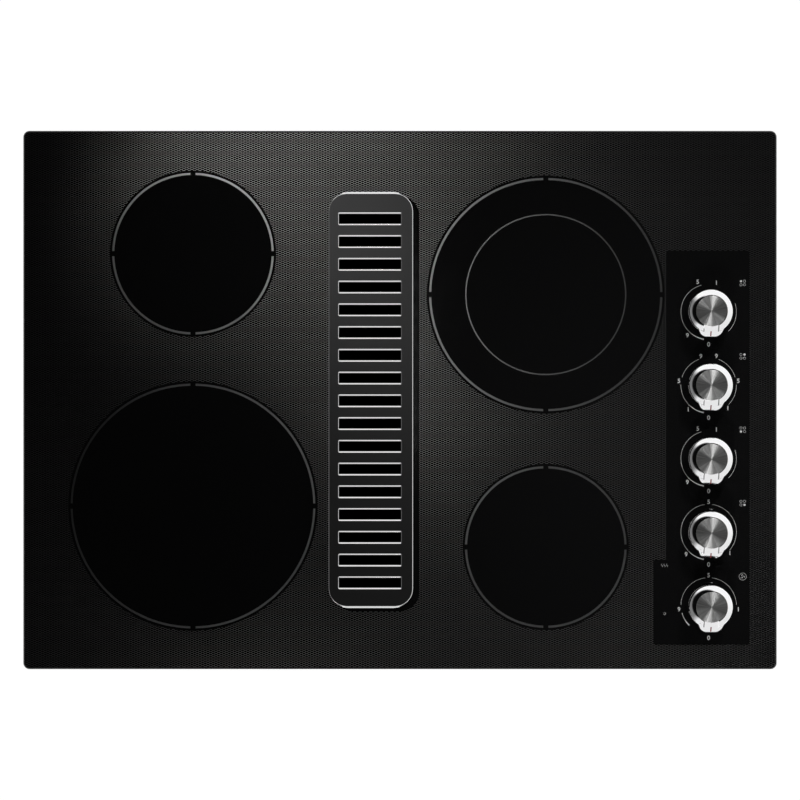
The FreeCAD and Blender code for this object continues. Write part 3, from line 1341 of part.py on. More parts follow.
def sheet_screws():
    """Every sheet-metal screw: plenum, bars, bracket, junction box, clamps and motor legs."""
    screws = []
    below = floor_bottom - SHEET
    for x, y in plenum_screw_points():
        screws.append(screw((x, y, below), (0, 0, -1), 2 * SHEET))
    for x, y in bar_screw_points():
        screws.append(screw((x, y, floor_bottom), (0, 0, -1), 2 * SHEET))
    for x, y in bracket_screw_points():
        screws.append(screw((x, y, floor_bottom), (0, 0, -1), SHEET + BRACKET_SHEET))
    for x, y in junction_screw_points():
        screws.append(screw((x, y, below), (0, 0, -1), 2 * SHEET))
    for side, y, z in clamp_screw_points():
        seat = wall_x(side) + side * CLAMP_SHEET
        screws.append(screw((seat, y, z), (side, 0, 0), CLAMP_SHEET + SHEET))
    for index in range(LEG_COUNT):
        y, z = leg_spot(index, leg_screw_radius)
        grip = BAND_THICKNESS + GROMMET_THICKNESS + SHEET
        screws.append(screw((legs_x + BAND_THICKNESS, y, z), (1, 0, 0), grip))
    return Part.makeCompound(screws)


def all_pieces():
    pieces = {
        "glass_top": glass_plate(),
        "rim_seal": rim_seal(),
        "glass_bond": glass_bond(),
        "burner_box": burner_box(),
        "sheet_screws": sheet_screws(),
        "vent_collar": vent_collar(),
        "vent_gasket": vent_gasket(),
        "vent_grille": vent_grille(),
        "grille_bumpers": grille_bumpers(),
        "filter_frame": filter_frame(),
        "filter_mesh": filter_mesh(),
        "plenum": plenum(),
        "blower_inlet_plate": blower_inlet_plate(),
        "blower_scroll": blower_scroll(),
        "blower_motor_plate": blower_motor_plate(),
        "blower_wheel": blower_wheel(),
        "motor_shaft": motor_shaft(),
        "motor_can": motor_can(),
        "motor_legs": motor_legs(),
        "motor_grommets": motor_grommets(),
        "motor_capacitor": motor_capacitor(),
        "outlet_transition": outlet_transition(),
        "element_limiters": element_limiters(),
        "element_support_bars": element_support_bars(),
        "element_springs": element_springs(),
        "switch_bracket": switch_bracket(),
        "switch_bodies": switch_bodies(),
        "switch_bases": switch_bases(),
        "fan_control": fan_control(),
        "shaft_seals": shaft_seals(),
        "indicator_lamps": indicator_lamps(),
        "junction_box": junction_box(),
        "junction_cover": junction_cover(),
        "conduit_gland": conduit_gland(),
        "motor_lead": motor_lead(),
        "clamp_brackets": clamp_brackets(),
        "clamp_screw_left": clamp_screw(-1),
        "clamp_screw_right": clamp_screw(1),
        "element_dishes": Part.makeCompound([element_dish(name) for name in ELEMENTS]),
        "element_insulation": Part.makeCompound([element_insulation(name) for name in ELEMENTS]),
        "element_ribbons": Part.makeCompound([element_ribbon(name) for name in ELEMENTS]),
    }
    for name in SWITCHES:
        pieces["switch_cam_" + name] = switch_cam(name)
    for name in knob_y:
        pieces["knob_shaft_" + name] = knob_shaft(name)
        pieces["knob_" + name] = knob(name)
        pieces["knob_cap_" + name] = knob_cap(name)
    return pieces


def main():
    os.makedirs("parts", exist_ok=True)
    for name, shape in all_pieces().items():
        if not shape.isValid():
            raise ValueError(name + " is not a valid shape")
        shape.exportStep(os.path.join("parts", name + ".step"))


main()
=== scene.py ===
import json
import math

import bmesh
import bpy
from mathutils import Matrix, Vector


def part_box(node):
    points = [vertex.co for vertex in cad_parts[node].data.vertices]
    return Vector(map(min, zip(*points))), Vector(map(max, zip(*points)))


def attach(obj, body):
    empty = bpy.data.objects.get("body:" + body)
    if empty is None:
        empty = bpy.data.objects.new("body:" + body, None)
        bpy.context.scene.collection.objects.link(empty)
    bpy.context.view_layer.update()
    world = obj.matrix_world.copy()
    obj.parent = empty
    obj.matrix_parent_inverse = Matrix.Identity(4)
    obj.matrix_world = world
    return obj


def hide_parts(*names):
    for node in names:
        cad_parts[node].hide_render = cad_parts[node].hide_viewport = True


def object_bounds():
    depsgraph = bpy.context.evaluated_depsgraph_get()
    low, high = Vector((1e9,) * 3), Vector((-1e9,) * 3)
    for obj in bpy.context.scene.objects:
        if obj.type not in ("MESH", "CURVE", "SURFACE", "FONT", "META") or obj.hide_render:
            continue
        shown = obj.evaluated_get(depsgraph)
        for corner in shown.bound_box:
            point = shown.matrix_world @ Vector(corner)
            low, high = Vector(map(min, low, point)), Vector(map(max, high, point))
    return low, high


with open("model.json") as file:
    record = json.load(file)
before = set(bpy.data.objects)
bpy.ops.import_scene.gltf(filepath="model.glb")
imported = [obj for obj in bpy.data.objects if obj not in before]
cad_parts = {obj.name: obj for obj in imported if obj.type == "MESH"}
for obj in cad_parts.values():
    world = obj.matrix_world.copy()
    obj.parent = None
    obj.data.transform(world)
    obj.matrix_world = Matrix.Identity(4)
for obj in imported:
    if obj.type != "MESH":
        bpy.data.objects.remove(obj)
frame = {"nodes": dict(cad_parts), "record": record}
cad_low, cad_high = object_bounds()

bl_info = {
    "name": "Downdraft Cooktop Looks",
    "version": (1, 0, 0),
    "blender": (4, 5, 0),
    "location": "3D View > Sidebar > Cooktop",
    "description": "Prints the glass, builds knobs and filter, finishes every part and sets a studio stage",
    "category": "Object",
}

SLOTS = {row["node"]: row["material_slot"] for row in frame["record"]["subparts"]}
KNOBS = ("left_rear", "right_rear", "left_front", "right_front", "fan")
BODY = "cooktop"

# Steps of a knob's and a cap's full turn, of a cap's dome, of a knob's shoulder and edge, and of a corner
KNOB_STEPS = 128
CAP_STEPS = 96
CAP_RINGS = 16
SHOULDER_STEPS = 8
EDGE_STEPS = 5
CORNER_STEPS = 6

# Turn between two steps of a printed arc, and the least number of steps
ARC_STEP = math.radians(3.0)
ARC_LEAST = 6

# Points closer together than the first are one point, and closer to a cut than the second lie on it (metres)
MERGE_DISTANCE = 1e-7
CUT_DISTANCE = 1e-6

# Slope of a knob's shoulder at its inner and its outer edge, and of the wall under it
CROWN_TILT = math.radians(35.5)
SHOULDER_TILT = math.radians(42.0)
WALL_TILT = math.radians(86.5)

# Edges that turn by more than these stay crisp (degrees)
GRILLE_CRISP = 25
KNOB_CRISP = 28
CAP_CRISP = 30

# A face is level where its normal rises above the first value, and upright where it stays below the second
LEVEL_FACE = 0.99
UPRIGHT_FACE = 0.15

# Height of a figure and spacing of the letters, as shares of the font's own
FIGURE_SHARE = 0.7
FIGURE_SPACING = 1.12

# A blade of the fan mark: distance from the middle, bend, root and tip width as shares of the mark's radius
FAN_BLADE = (0.34, 0.26, 0.22, 0.06)
FAN_SWEEP = (-150, 20)

# Element rings: centre x, centre y, line radius, inner line radius (metres; no inner line at 0)
ELEMENTS = {
    "left_rear": (-0.2150, 0.1520, 0.0828, 0.0),
    "left_front": (-0.2150, -0.1101, 0.1260, 0.0),
    "right_rear": (0.1514, 0.1095, 0.1200, 0.0830),
    "right_front": (0.1514, -0.1527, 0.0828, 0.0),
}

# Dial marks per knob, in degrees clockwise from the back: figures, thin arcs and the arc that swells
# forwards; the locator is the column and the row of the element that the knob serves
LEFT_DIAL = {
    "figures": (("9", -138), ("5", -20), ("1", 15)),
    "arcs": ((-135, -15), (72, 134)),
    "swell": (-170, -134),
}
DIALS = {
    "left_rear": {**LEFT_DIAL, "locator": (0, 1)},
    "right_rear": {
        "figures": (("9", -15), ("9", 15), ("5", -82), ("5", 82), ("1", -140), ("1", 140)),
        "arcs": ((-73, -21), (21, 73), (-133, -89), (89, 134)),
        "swell": (-170, -134),
        "locator": (1, 1),
    },
    "left_front": {**LEFT_DIAL, "locator": (0, 0)},
    "right_front": {
        "figures": (("5", 0), ("9", -135), ("1", 135)),
        "arcs": ((-132, -8), (8, 131)),
        "swell": (-170, -134),
        "locator": (1, 0),
    },
    "fan": {
        "figures": (("5", 0), ("9", -98), ("1", 98)),
        "arcs": ((-89, -7), (7, 89)),
        "swell": (-136, -106),
        "locator": None,
    },
}

# Lamps behind grids: place, aim on the glass, reach of the lit round there, size across and along (metres),
# strength along the axis
KNOB_AIM = (0.32, -0.06)
KNOB_REACH = 0.34
LAMPS = {
    "key": ((0.85, 1.75, 1.62), KNOB_AIM, KNOB_REACH, (0.40, 0.40), 10.0),
    "fill": ((0.00, -1.85, 1.62), KNOB_AIM, KNOB_REACH, (0.40, 0.40), 7.0),
    "side_back": ((-0.65, 1.40, 1.62), KNOB_AIM, KNOB_REACH, (0.90, 0.90), 3.2),
    "side_front": ((1.29, -1.52, 1.62), KNOB_AIM, KNOB_REACH, (0.90, 0.90), 3.2),
    "strip_back": ((-0.11, 0.67, 2.00), (0.05, 0.05), 0.40, (0.11, 0.11), 1.13),
    "strip_middle": ((-0.03, 0.08, 2.00), (0.06, 0.06), 0.30, (0.04, 0.37), 0.19),
    "strip_front": ((-0.22, -0.67, 2.00), (0.14, 0.00), 1.28, (0.11, 0.11), 0.16),
    "strip_right": ((0.55, -0.66, 2.00), (0.12, 0.00), 0.45, (0.11, 0.11), 0.24),
    "strip_left": ((-0.43, 0.62, 2.00), (-0.13, 0.16), 0.21, (0.11, 0.11), 1.22),
}

# Directions from the object: the middle of the dark ceiling, and where the left and front walls give way
# to the pale ones
CEILING_MIDDLE = (-0.08, 0.03, 1.0)
LEFT_FADE = (-0.85, -0.55)
FRONT_FADE = (-0.60, 0.20)

# Gap between the object and the floor (metres), and width of the camera's sensor (millimetres)
FLOOR_GAP = 0.0005
SENSOR_WIDTH = 36.0


def length(name, description, default):
    return bpy.props.FloatProperty(
        name=name, description=description, default=default, min=0.0, precision=5,
        unit="LENGTH", subtype="DISTANCE"
    )


def angle(name, description, degrees):
    return bpy.props.FloatProperty(
        name=name, description=description, default=math.radians(degrees), min=0.0,
        unit="ROTATION", subtype="ANGLE"
    )


def colour(name, description, default):
    return bpy.props.FloatVectorProperty(
        name=name, description=description, default=default, size=3, min=0.0, max=1.0, subtype="COLOR"
    )


def number(name, description, default):
    return bpy.props.FloatProperty(name=name, description=description, default=default, min=0.0)


class CooktopPrintSizes(bpy.types.PropertyGroup):
    ring_width: length("Ring width", "Width of an element's outer line", 0.0022)
    inner_width: length("Inner width", "Width of an element's inner line", 0.0013)
    ring_gap: length("Ring gap", "Length of each of the four breaks in an outer line", 0.0055)
    moat: length("Moat", "Clear glass outside an element's line", 0.0024)
    dot_pitch_x: length("Dot pitch across", "Spacing of the ground's dots from left to right", 0.00554)
    dot_pitch_y: length("Dot pitch along", "Spacing of the ground's dots from front to back", 0.00227)
    dot_shape: number("Dot shape", "Narrowing of the dots from left to right", 0.8)
    dot_edge: number("Dot edge", "Softness of the dots' edges", 0.1)
    edge_margin: length("Edge margin", "Clear glass along the outer edge", 0.0017)
    # Painted shadow: the clear band right of and before the grille stands in for the grille's cast shadow on
    # the glass
    vent_right: length("Vent right", "Clear glass to the right of the grille", 0.0066)
    vent_front: length("Vent front", "Clear glass before the grille", 0.00396)
    dial_radius: length("Dial radius", "Radius of the arcs round a knob", 0.0288)
    dial_line: length("Dial line", "Width of the arcs round a knob", 0.00034)
    swell_line: length("Swelling line", "Greatest width of the swelling arcs", 0.0015)
    figure_radius: length("Figure radius", "Distance of the figures from a knob's axis", 0.0311)
    outer_radius: length("Outer radius", "Distance of a figure outside an arc from a knob's axis", 0.0330)
    figure_height: length("Figure height", "Height of a figure on the dial", 0.0043)
    figure_bold: length("Figure boldness", "Thickening of a figure's lines on each side", 0.00014)
    zero_drop: length("Zero drop", "Distance of the zero before a knob's axis", 0.0339)
    zero_height: length("Zero height", "Height of the zero before a knob", 0.0044)
    icon_x: length("Icon offset across", "Distance of a locator mark right of a knob's axis", 0.0354)
    icon_y: length("Icon offset along", "Distance of a locator mark behind a knob's axis", 0.0300)
    icon_pitch: length("Icon pitch", "Spacing of the four dots of a locator mark", 0.0037)
    icon_radius: length("Icon radius", "Radius of one dot of a locator mark", 0.0012)
    icon_line: length("Icon line", "Width of the lines of the small marks", 0.0003)
    warmth_back: length("Warmth mark", "Distance of the warmth mark behind the lamps", 0.0210)
    wave_radius: length("Wave radius", "Radius of the bends of the warmth mark", 0.00072)
    wave_pitch: length("Wave pitch", "Spacing of the waves of the warmth mark", 0.00259)
    power_back: length("Power mark", "Distance of the power mark behind the lamps' front", 0.0120)
    power_gap: angle("Power gap", "Half of the opening in the power mark's ring", 35.0)
    power_rise: length("Power rise", "Distance of the power mark's bar behind its middle", 0.00096)
    rise: length("Ink rise", "Height of the ink above the glass", 0.00004)
    sink: length("Ink sink", "Depth of the ink inside the glass", 0.00005)


class CooktopPanelSizes(bpy.types.PropertyGroup):
    left: length("Left", "Clear panel to the left of the knobs' axis", 0.0442)
    right: length("Right", "Clear panel to the right of the knobs' axis", 0.0424)
    back: length("Back", "Clear panel behind the rearmost knob", 0.0638)
    front: length("Front", "Clear panel before the foremost knob", 0.0410)
    wing_left: length("Wing left", "Clear wing for the lamps, left of the knobs' axis", 0.0573)
    wing_back: length("Wing back", "Clear wing for the lamps, behind the foremost knob", 0.0474)
    corner: length("Corner", "Corner radius of the clear panel", 0.0030)


class CooktopKnobSizes(bpy.types.PropertyGroup):
    base_radius: length("Base radius", "Radius of the knob's foot", 0.0238)
    base_edge: length("Base edge", "Height of the bevelled foot edge", 0.0015)
    shoulder_radius: length("Shoulder radius", "Outer radius of the domed shoulder", 0.0220)
    crown_radius: length("Crown radius", "Inner radius of the domed shoulder", 0.0166)
    rim: length("Rim", "Width of the flat rim round the cap", 0.0007)
    edge_round: length("Edge round", "Radius between shoulder and wall", 0.0008)
    recess: length("Recess", "Depth of the seat under the cap", 0.0012)
    pointer_reach: length("Pointer reach", "Distance of the pointer's tip from the axis", 0.0260)
    pointer_tip: length("Pointer tip", "Width of the pointer at its tip", 0.0188)
    pointer_root: length("Pointer root", "Width of the pointer at the shoulder", 0.0272)
    pointer_corner: length("Pointer corner", "Corner radius of the pointer's tip", 0.0050)
    facet_width: length("Facet width", "Width of the sloping facet", 0.0140)
    facet_top: length("Facet top", "Drop of the facet's inner edge below the crown", 0.0024)
    facet_tip: length("Facet tip", "Drop of the facet's outer edge below the crown", 0.0096)
    facet_flare: number("Facet flare", "Widening of the facet's recess on each side for its height", 1.28)
    cap_radius: length("Cap radius", "Radius of the spun cap", 0.0158)
    cap_dome: length("Cap dome", "Rise of the spun cap at its middle", 0.0004)
    cap_edge: length("Cap edge", "Width of the bevel round the spun cap", 0.000237)
    cap_edge_drop: length("Cap edge drop", "Height of the bevel round the spun cap", 0.0002)
    index_length: length("Index length", "Length of the red line", 0.0062)
    index_width: length("Index width", "Width of the red line", 0.0012)
    index_inset: length("Index inset", "Distance of the red line from the pointer's tip", 0.0005)
    index_paint: length("Index paint", "Thickness of the red line", 0.00012)


class CooktopGrilleSizes(bpy.types.PropertyGroup):
    slots: bpy.props.IntProperty(name="Slots", description="Number of slots in the grille", default=17, min=1)
    slot_pitch: length("Slot pitch", "Spacing of the slots", 0.02356)
    slot_width: length("Slot width", "Width of a slot from left to right", 0.0648)
    slot_depth: length("Slot depth", "Depth of a slot from front to back", 0.0106)
    slot_corner: length("Slot corner", "Corner radius of a slot", 0.0010)
    slots_left: length("Slots left", "Distance of the slots left of the grille's middle", 0.0009)
    slots_front: length("Slots front", "Distance of the slots before the grille's middle", 0.0008)
    slot_bevel: length("Slot bevel", "Width of the polished bevel along a slot", 0.0013)
    end_bevel: length("End bevel", "Width of the polished bevel at a slot's ends", 0.0004)
    edge_bevel: length("Edge bevel", "Width of the grille's polished edge at its ends", 0.0020)
    side_bevel: length("Side bevel", "Width of the grille's polished edge at its sides", 0.0005)
    bevel_slope: number("Bevel slope", "Fall of a polished bevel for its width", 0.84)
    corner: length("Corner", "Corner radius of the grille's outline", 0.0200)
    plate: length("Plate", "Thickness of the slotted plate", 0.0030)
    wall: length("Wall", "Thickness of the skirt under the plate", 0.0025)


class CooktopFilterSizes(bpy.types.PropertyGroup):
    diamond_x: length("Diamond across", "Width of one opening of the mesh", 0.0058)
    diamond_y: length("Diamond along", "Length of one opening of the mesh", 0.0082)
    strand: length("Strand", "Thickness of the mesh's strands", 0.0007)
    layer_gap: length("Layer gap", "Distance between the two layers of mesh", 0.0012)


class CooktopColours(bpy.types.PropertyGroup):
    glass: colour("Glass", "Clear black glass", (0.0075, 0.0075, 0.0077))
    ground: colour("Ground", "Printed net between the dots", (0.225, 0.225, 0.225))
    ring_ink: colour("Ring ink", "Metallic ink of the element lines", (0.32, 0.32, 0.32))
    dial_ink: colour("Dial ink", "Ink of the dials", (0.95, 0.95, 0.94))
    grille_satin: colour("Grille", "Satin face of the vent grille", (0.060, 0.060, 0.060))
    grille_polish: colour("Grille edge", "Polished edges of the vent grille", (0.86, 0.86, 0.86))
    chrome: colour("Chrome", "Knob plating", (0.95, 0.95, 0.955))
    spun: colour("Spun metal", "Knob caps", (0.95, 0.95, 0.94))
    index_red: colour("Index", "Red line on a knob", (0.35, 0.006, 0.008))
    zinc_dark: colour("Zinc dark", "Darker crystals of galvanised sheet", (0.27, 0.28, 0.29))
    zinc_light: colour("Zinc light", "Lighter crystals of galvanised sheet", (0.50, 0.51, 0.52))
    floor: colour("Floor", "Studio floor", (0.86, 0.86, 0.86))


class CooktopStageSizes(bpy.types.PropertyGroup):
    camera_height: length("Camera height", "Height of the camera above the glass", 3.0)
    frame_width: length("Frame width", "Width seen by the camera at the glass", 0.8308)
    floor_size: length("Floor size", "Side of the square floor", 16.0)
    floor_light: number("Floor light", "Radiance that the floor adds where it is seen", 1.16)
    floor_share: number("Floor share", "Share of that radiance in the floor's look", 0.86)
    wall_light: number("Wall light", "Radiance of the pale studio walls", 1.0)
    left_light: number("Left light", "Radiance of the dimmer wall on the left", 0.20)
    front_light: number("Front light", "Radiance of the wall before the glass", 0.85)
    ceiling_light: number("Ceiling light", "Radiance of the dark ceiling round the camera", 0.003)
    ceiling_reach: angle("Ceiling reach", "Angle from the ceiling's middle to the walls", 70.0)
    ceiling_dark: angle("Ceiling dark", "Angle from the ceiling's middle to where it is darkest", 67.0)
    lamp_light: number("Lamp light", "Strength of all lamps, as a share of their own", 1.0)


def sizes(group):
    """The scene's own property group of that name."""
    return getattr(bpy.context.scene, "cooktop_" + group)


class Nodes:
    """Adds shader nodes to a tree; most methods return the output socket of the node that they made."""

    def __init__(self, tree):
        self.tree = tree

    def feed(self, socket, value):
        if isinstance(value, bpy.types.NodeSocket):
            self.tree.links.new(value, socket)
        elif socket.type == "RGBA" and len(value) == 3:
            socket.default_value = (*value, 1.0)
        else:
            socket.default_value = value

    def add(self, kind, inputs, **settings):
        node = self.tree.nodes.new(kind)
        for name, value in settings.items():
            setattr(node, name, value)
        for key, value in inputs.items():
            self.feed(node.inputs[key], value)
        return node

    def place(self):
        return self.add("ShaderNodeTexCoord", {}).outputs["Object"]

    def normal(self):
        return self.add("ShaderNodeNewGeometry", {}).outputs["Normal"]

    def attribute(self, name, output):
        return self.add("ShaderNodeAttribute", {}, attribute_name=name).outputs[output]

    def split(self, vector):
        return self.add("ShaderNodeSeparateXYZ", {0: vector}).outputs

    def flat(self, x, y):
        return self.add("ShaderNodeCombineXYZ", {0: x, 1: y}).outputs[0]

    def math(self, operation, *values):
        return self.add("ShaderNodeMath", dict(enumerate(values)), operation=operation).outputs[0]

    def vector(self, operation, *values):
        node = self.add("ShaderNodeVectorMath", dict(enumerate(values)), operation=operation)
        scalar = operation in ("LENGTH", "DISTANCE", "DOT_PRODUCT")
        return node.outputs["Value" if scalar else "Vector"]

    def noise(self, vector, scale, detail=3.0):
        return self.add("ShaderNodeTexNoise", {"Vector": vector, "Scale": scale, "Detail": detail}).outputs[0]

    def remap(self, value, from_low, from_high, to_low=0.0, to_high=1.0):
        inputs = {0: value, 1: from_low, 2: from_high, 3: to_low, 4: to_high}
        return self.add("ShaderNodeMapRange", inputs, interpolation_type="SMOOTHSTEP").outputs[0]

    def mix(self, factor, first, second):
        return self.add("ShaderNodeMix", {0: factor, 2: first, 3: second}, data_type="FLOAT").outputs[0]

    def blend(self, factor, first, second):
        return self.add("ShaderNodeMix", {0: factor, 6: first, 7: second}, data_type="RGBA").outputs[2]

    def bump(self, height, distance):
        inputs = {"Height": height, "Distance": distance, "Strength": 1.0}
        return self.add("ShaderNodeBump", inputs).outputs[0]

    def in_disc(self, flat, x, y, radius):
        return self.math("LESS_THAN", self.vector("DISTANCE", flat, (x, y, 0.0)), radius)

    def in_round_box(self, flat, low, high, corner):
        """One inside a rectangle with rounded corners, zero outside it."""
        middle = ((low[0] + high[0]) / 2, (low[1] + high[1]) / 2, 0.0)
        half = ((high[0] - low[0]) / 2 - corner, (high[1] - low[1]) / 2 - corner, 0.0)
        away = self.vector("ABSOLUTE", self.vector("SUBTRACT", flat, middle))
        beyond = self.vector("MAXIMUM", self.vector("SUBTRACT", away, half), (0.0, 0.0, 0.0))
        return self.math("LESS_THAN", self.vector("LENGTH", beyond), corner)

    def without(self, mask, cut):
        return self.math("MULTIPLY", mask, self.math("SUBTRACT", 1.0, cut))


def surface(name, **constants):
    """A new material with its node helper and a function that feeds its main shader."""
    material = bpy.data.materials.new("cooktop_" + name)
    material.use_nodes = True
    nodes = Nodes(material.node_tree)
    shader = next(node for node in material.node_tree.nodes if node.type == "BSDF_PRINCIPLED")

    def feed(socket, value):
        nodes.feed(shader.inputs[socket], value)

    for socket, value in constants.items():
        feed(socket.replace("_", " ").title().replace("Ior", "IOR"), value)
    return material, nodes, feed


def knob_axis(name):
    """The point where a knob's axis meets the counter plane."""
    low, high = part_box("knob_cap_" + name)
    return Vector(((low.x + high.x) / 2, (low.y + high.y) / 2, 0.0))


def facet_ends(name):
    """Middle of the inner and of the outer edge of the facet on a knob's pointer."""
    knob = sizes("knob")
    axis = knob_axis(name)
    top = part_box("knob_" + name)[1].z
    inner = Vector((axis.x, axis.y - knob.crown_radius, top - knob.facet_top))
    outer = Vector((axis.x, axis.y - knob.pointer_reach, top - knob.facet_tip))
    return inner, outer


def panel_boxes():
    """The clear control panel and its wing for the lamps, as flat corners."""
    panel = sizes("panel")
    rear = knob_axis(KNOBS[0])
    fore = knob_axis(KNOBS[-1])
    main = ((rear.x - panel.left, fore.y - panel.front), (rear.x + panel.right, rear.y + panel.back))
    wing = ((rear.x - panel.wing_left, fore.y - panel.front), (rear.x, fore.y + panel.wing_back))
    return main, wing


def black_glass(name):
    """Gloss black glass under a printed net, which stays clear of rings, panel and edge, and of a painted
    shadow: a clear band right of and before the grille.
    """
    ink = sizes("print")
    tone = sizes("colours")
    material, nodes, feed = surface(name, ior=1.52)
    place = nodes.place()
    x, y, _ = nodes.split(place)
    flat = nodes.flat(x, y)
    wave_x = nodes.math("COSINE", nodes.math("MULTIPLY", x, 2 * math.pi / ink.dot_pitch_x))
    wave_y = nodes.math("COSINE", nodes.math("MULTIPLY", y, 2 * math.pi / ink.dot_pitch_y))
    dots = nodes.math("MULTIPLY", wave_x, nodes.math("MULTIPLY_ADD", wave_x, ink.dot_shape, wave_y))
    net = nodes.remap(dots, -ink.dot_edge, ink.dot_edge, 1.0, 0.0)
    for centre_x, centre_y, radius, _ in ELEMENTS.values():
        reach = radius + ink.ring_width / 2 + ink.moat
        net = nodes.without(net, nodes.in_disc(flat, centre_x, centre_y, reach))
    for low, high in panel_boxes():
        net = nodes.without(net, nodes.in_round_box(flat, low, high, sizes("panel").corner))
    # Painted shadow: the net is left out of the grille's outline moved right and forwards, so the clear black
    # glass there draws the grille's cast shadow as a dark band
    low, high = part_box("vent_grille")
    painted_shadow_low = (low.x + ink.vent_right, low.y - ink.vent_front)
    painted_shadow_high = (high.x + ink.vent_right, high.y - ink.vent_front)
    net = nodes.without(net, nodes.in_round_box(flat, painted_shadow_low, painted_shadow_high, sizes("grille").corner))
    low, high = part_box("glass_top")
    inner_low = (low.x + ink.edge_margin, low.y + ink.edge_margin)
    inner_high = (high.x - ink.edge_margin, high.y - ink.edge_margin)
    net = nodes.math("MULTIPLY", net, nodes.in_round_box(flat, inner_low, inner_high, ink.edge_margin))
    upward = nodes.split(nodes.normal())[2]
    net = nodes.math("MULTIPLY", net, nodes.math("GREATER_THAN", upward, LEVEL_FACE))
    cloud = nodes.noise(place, scale=60.0)
    gloss = nodes.remap(cloud, 0.3, 0.7, 0.045, 0.06)
    satin = nodes.remap(cloud, 0.3, 0.7, 0.276, 0.282)
    feed("Base Color", nodes.blend(net, tone.glass, tone.ground))
    feed("Metallic", net)
    feed("Roughness", nodes.mix(net, gloss, satin))
    return material


def knob_chrome(name):
    """Bright plating with a faint haze."""
    tone = sizes("colours")
    material, nodes, feed = surface(name, metallic=1.0)
    haze = nodes.noise(nodes.place(), scale=220.0)
    shade = [0.96 * part for part in tone.chrome]
    feed("Base Color", nodes.blend(haze, shade, tone.chrome))
    feed("Roughness", nodes.remap(haze, 0.35, 0.75, 0.035, 0.075))
    return material


def knob_spun_metal(name):
    """Turned metal: fine rings and faint streaks follow the cap's own radius and direction."""
    tone = sizes("colours")
    material, nodes, feed = surface(name, metallic=0.95, anisotropic=0.9, anisotropic_rotation=0.25)
    line = nodes.flat(nodes.math("MULTIPLY", nodes.attribute("spun_radius", "Fac"), 4000.0), 0.0)
    rings = nodes.noise(line, scale=1.0, detail=6.0)
    streaks = nodes.noise(nodes.attribute("spun_way", "Vector"), scale=7.0, detail=4.0)
    marks = nodes.mix(0.6, rings, streaks)
    shade = [0.5 * part for part in tone.spun]
    feed("Base Color", nodes.blend(nodes.remap(marks, 0.3, 0.7), shade, tone.spun))
    feed("Roughness", nodes.remap(rings, 0.25, 0.75, 0.34, 0.41))
    feed("Tangent", nodes.add("ShaderNodeTangent", {}, direction_type="RADIAL", axis="Z").outputs[0])
    feed("Normal", nodes.bump(rings, distance=0.000012))
    return material


def galvanised_sheet(name):
    """Zinc-coated sheet with crystals of differing tone, a fine bump and some haze."""
    tone = sizes("colours")
    material, nodes, feed = surface(name, metallic=0.9)
    place = nodes.place()
    ripple = nodes.add("ShaderNodeTexNoise", {"Vector": place, "Scale": 120.0}).outputs["Color"]
    warped = nodes.vector("ADD", place, ripple)
    cells = nodes.add("ShaderNodeTexVoronoi", {"Vector": warped, "Scale": 130.0}).outputs["Color"]
    crystal = nodes.split(cells)[0]
    haze = nodes.noise(place, scale=9.0)
    feed("Base Color", nodes.blend(nodes.mix(0.4, crystal, haze), tone.zinc_dark, tone.zinc_light))
    feed("Roughness", nodes.remap(crystal, 0.0, 1.0, 0.30, 0.46))
    feed("Normal", nodes.bump(nodes.noise(place, scale=600.0), distance=0.00002))
    return material


# Toned finishes: share of the tone in the darker grain, metallic, grain per metre, least and greatest
# roughness
TONED = {
    "ring_ink": (0.80, 1.0, 1500.0, 0.276, 0.290),
    "dial_ink": (0.85, 0.0, 2200.0, 0.42, 0.55),
    "grille_satin": (0.85, 1.0, 1800.0, 0.32, 0.36),
    "grille_polish": (0.85, 1.0, 900.0, 0.08, 0.14),
    "index_red": (0.80, 0.0, 2500.0, 0.30, 0.40),
}


def toned(name):
    """One tone with a fine grain."""
    share, metallic, scale, smooth, rough = TONED[name]
    tone = getattr(sizes("colours"), name)
    material, nodes, feed = surface(name, metallic=metallic)
    grain = nodes.noise(nodes.place(), scale)
    feed("Base Color", nodes.blend(grain, [share * part for part in tone], tone))
    feed("Roughness", nodes.remap(grain, 0.2, 0.8, smooth, rough))
    return material


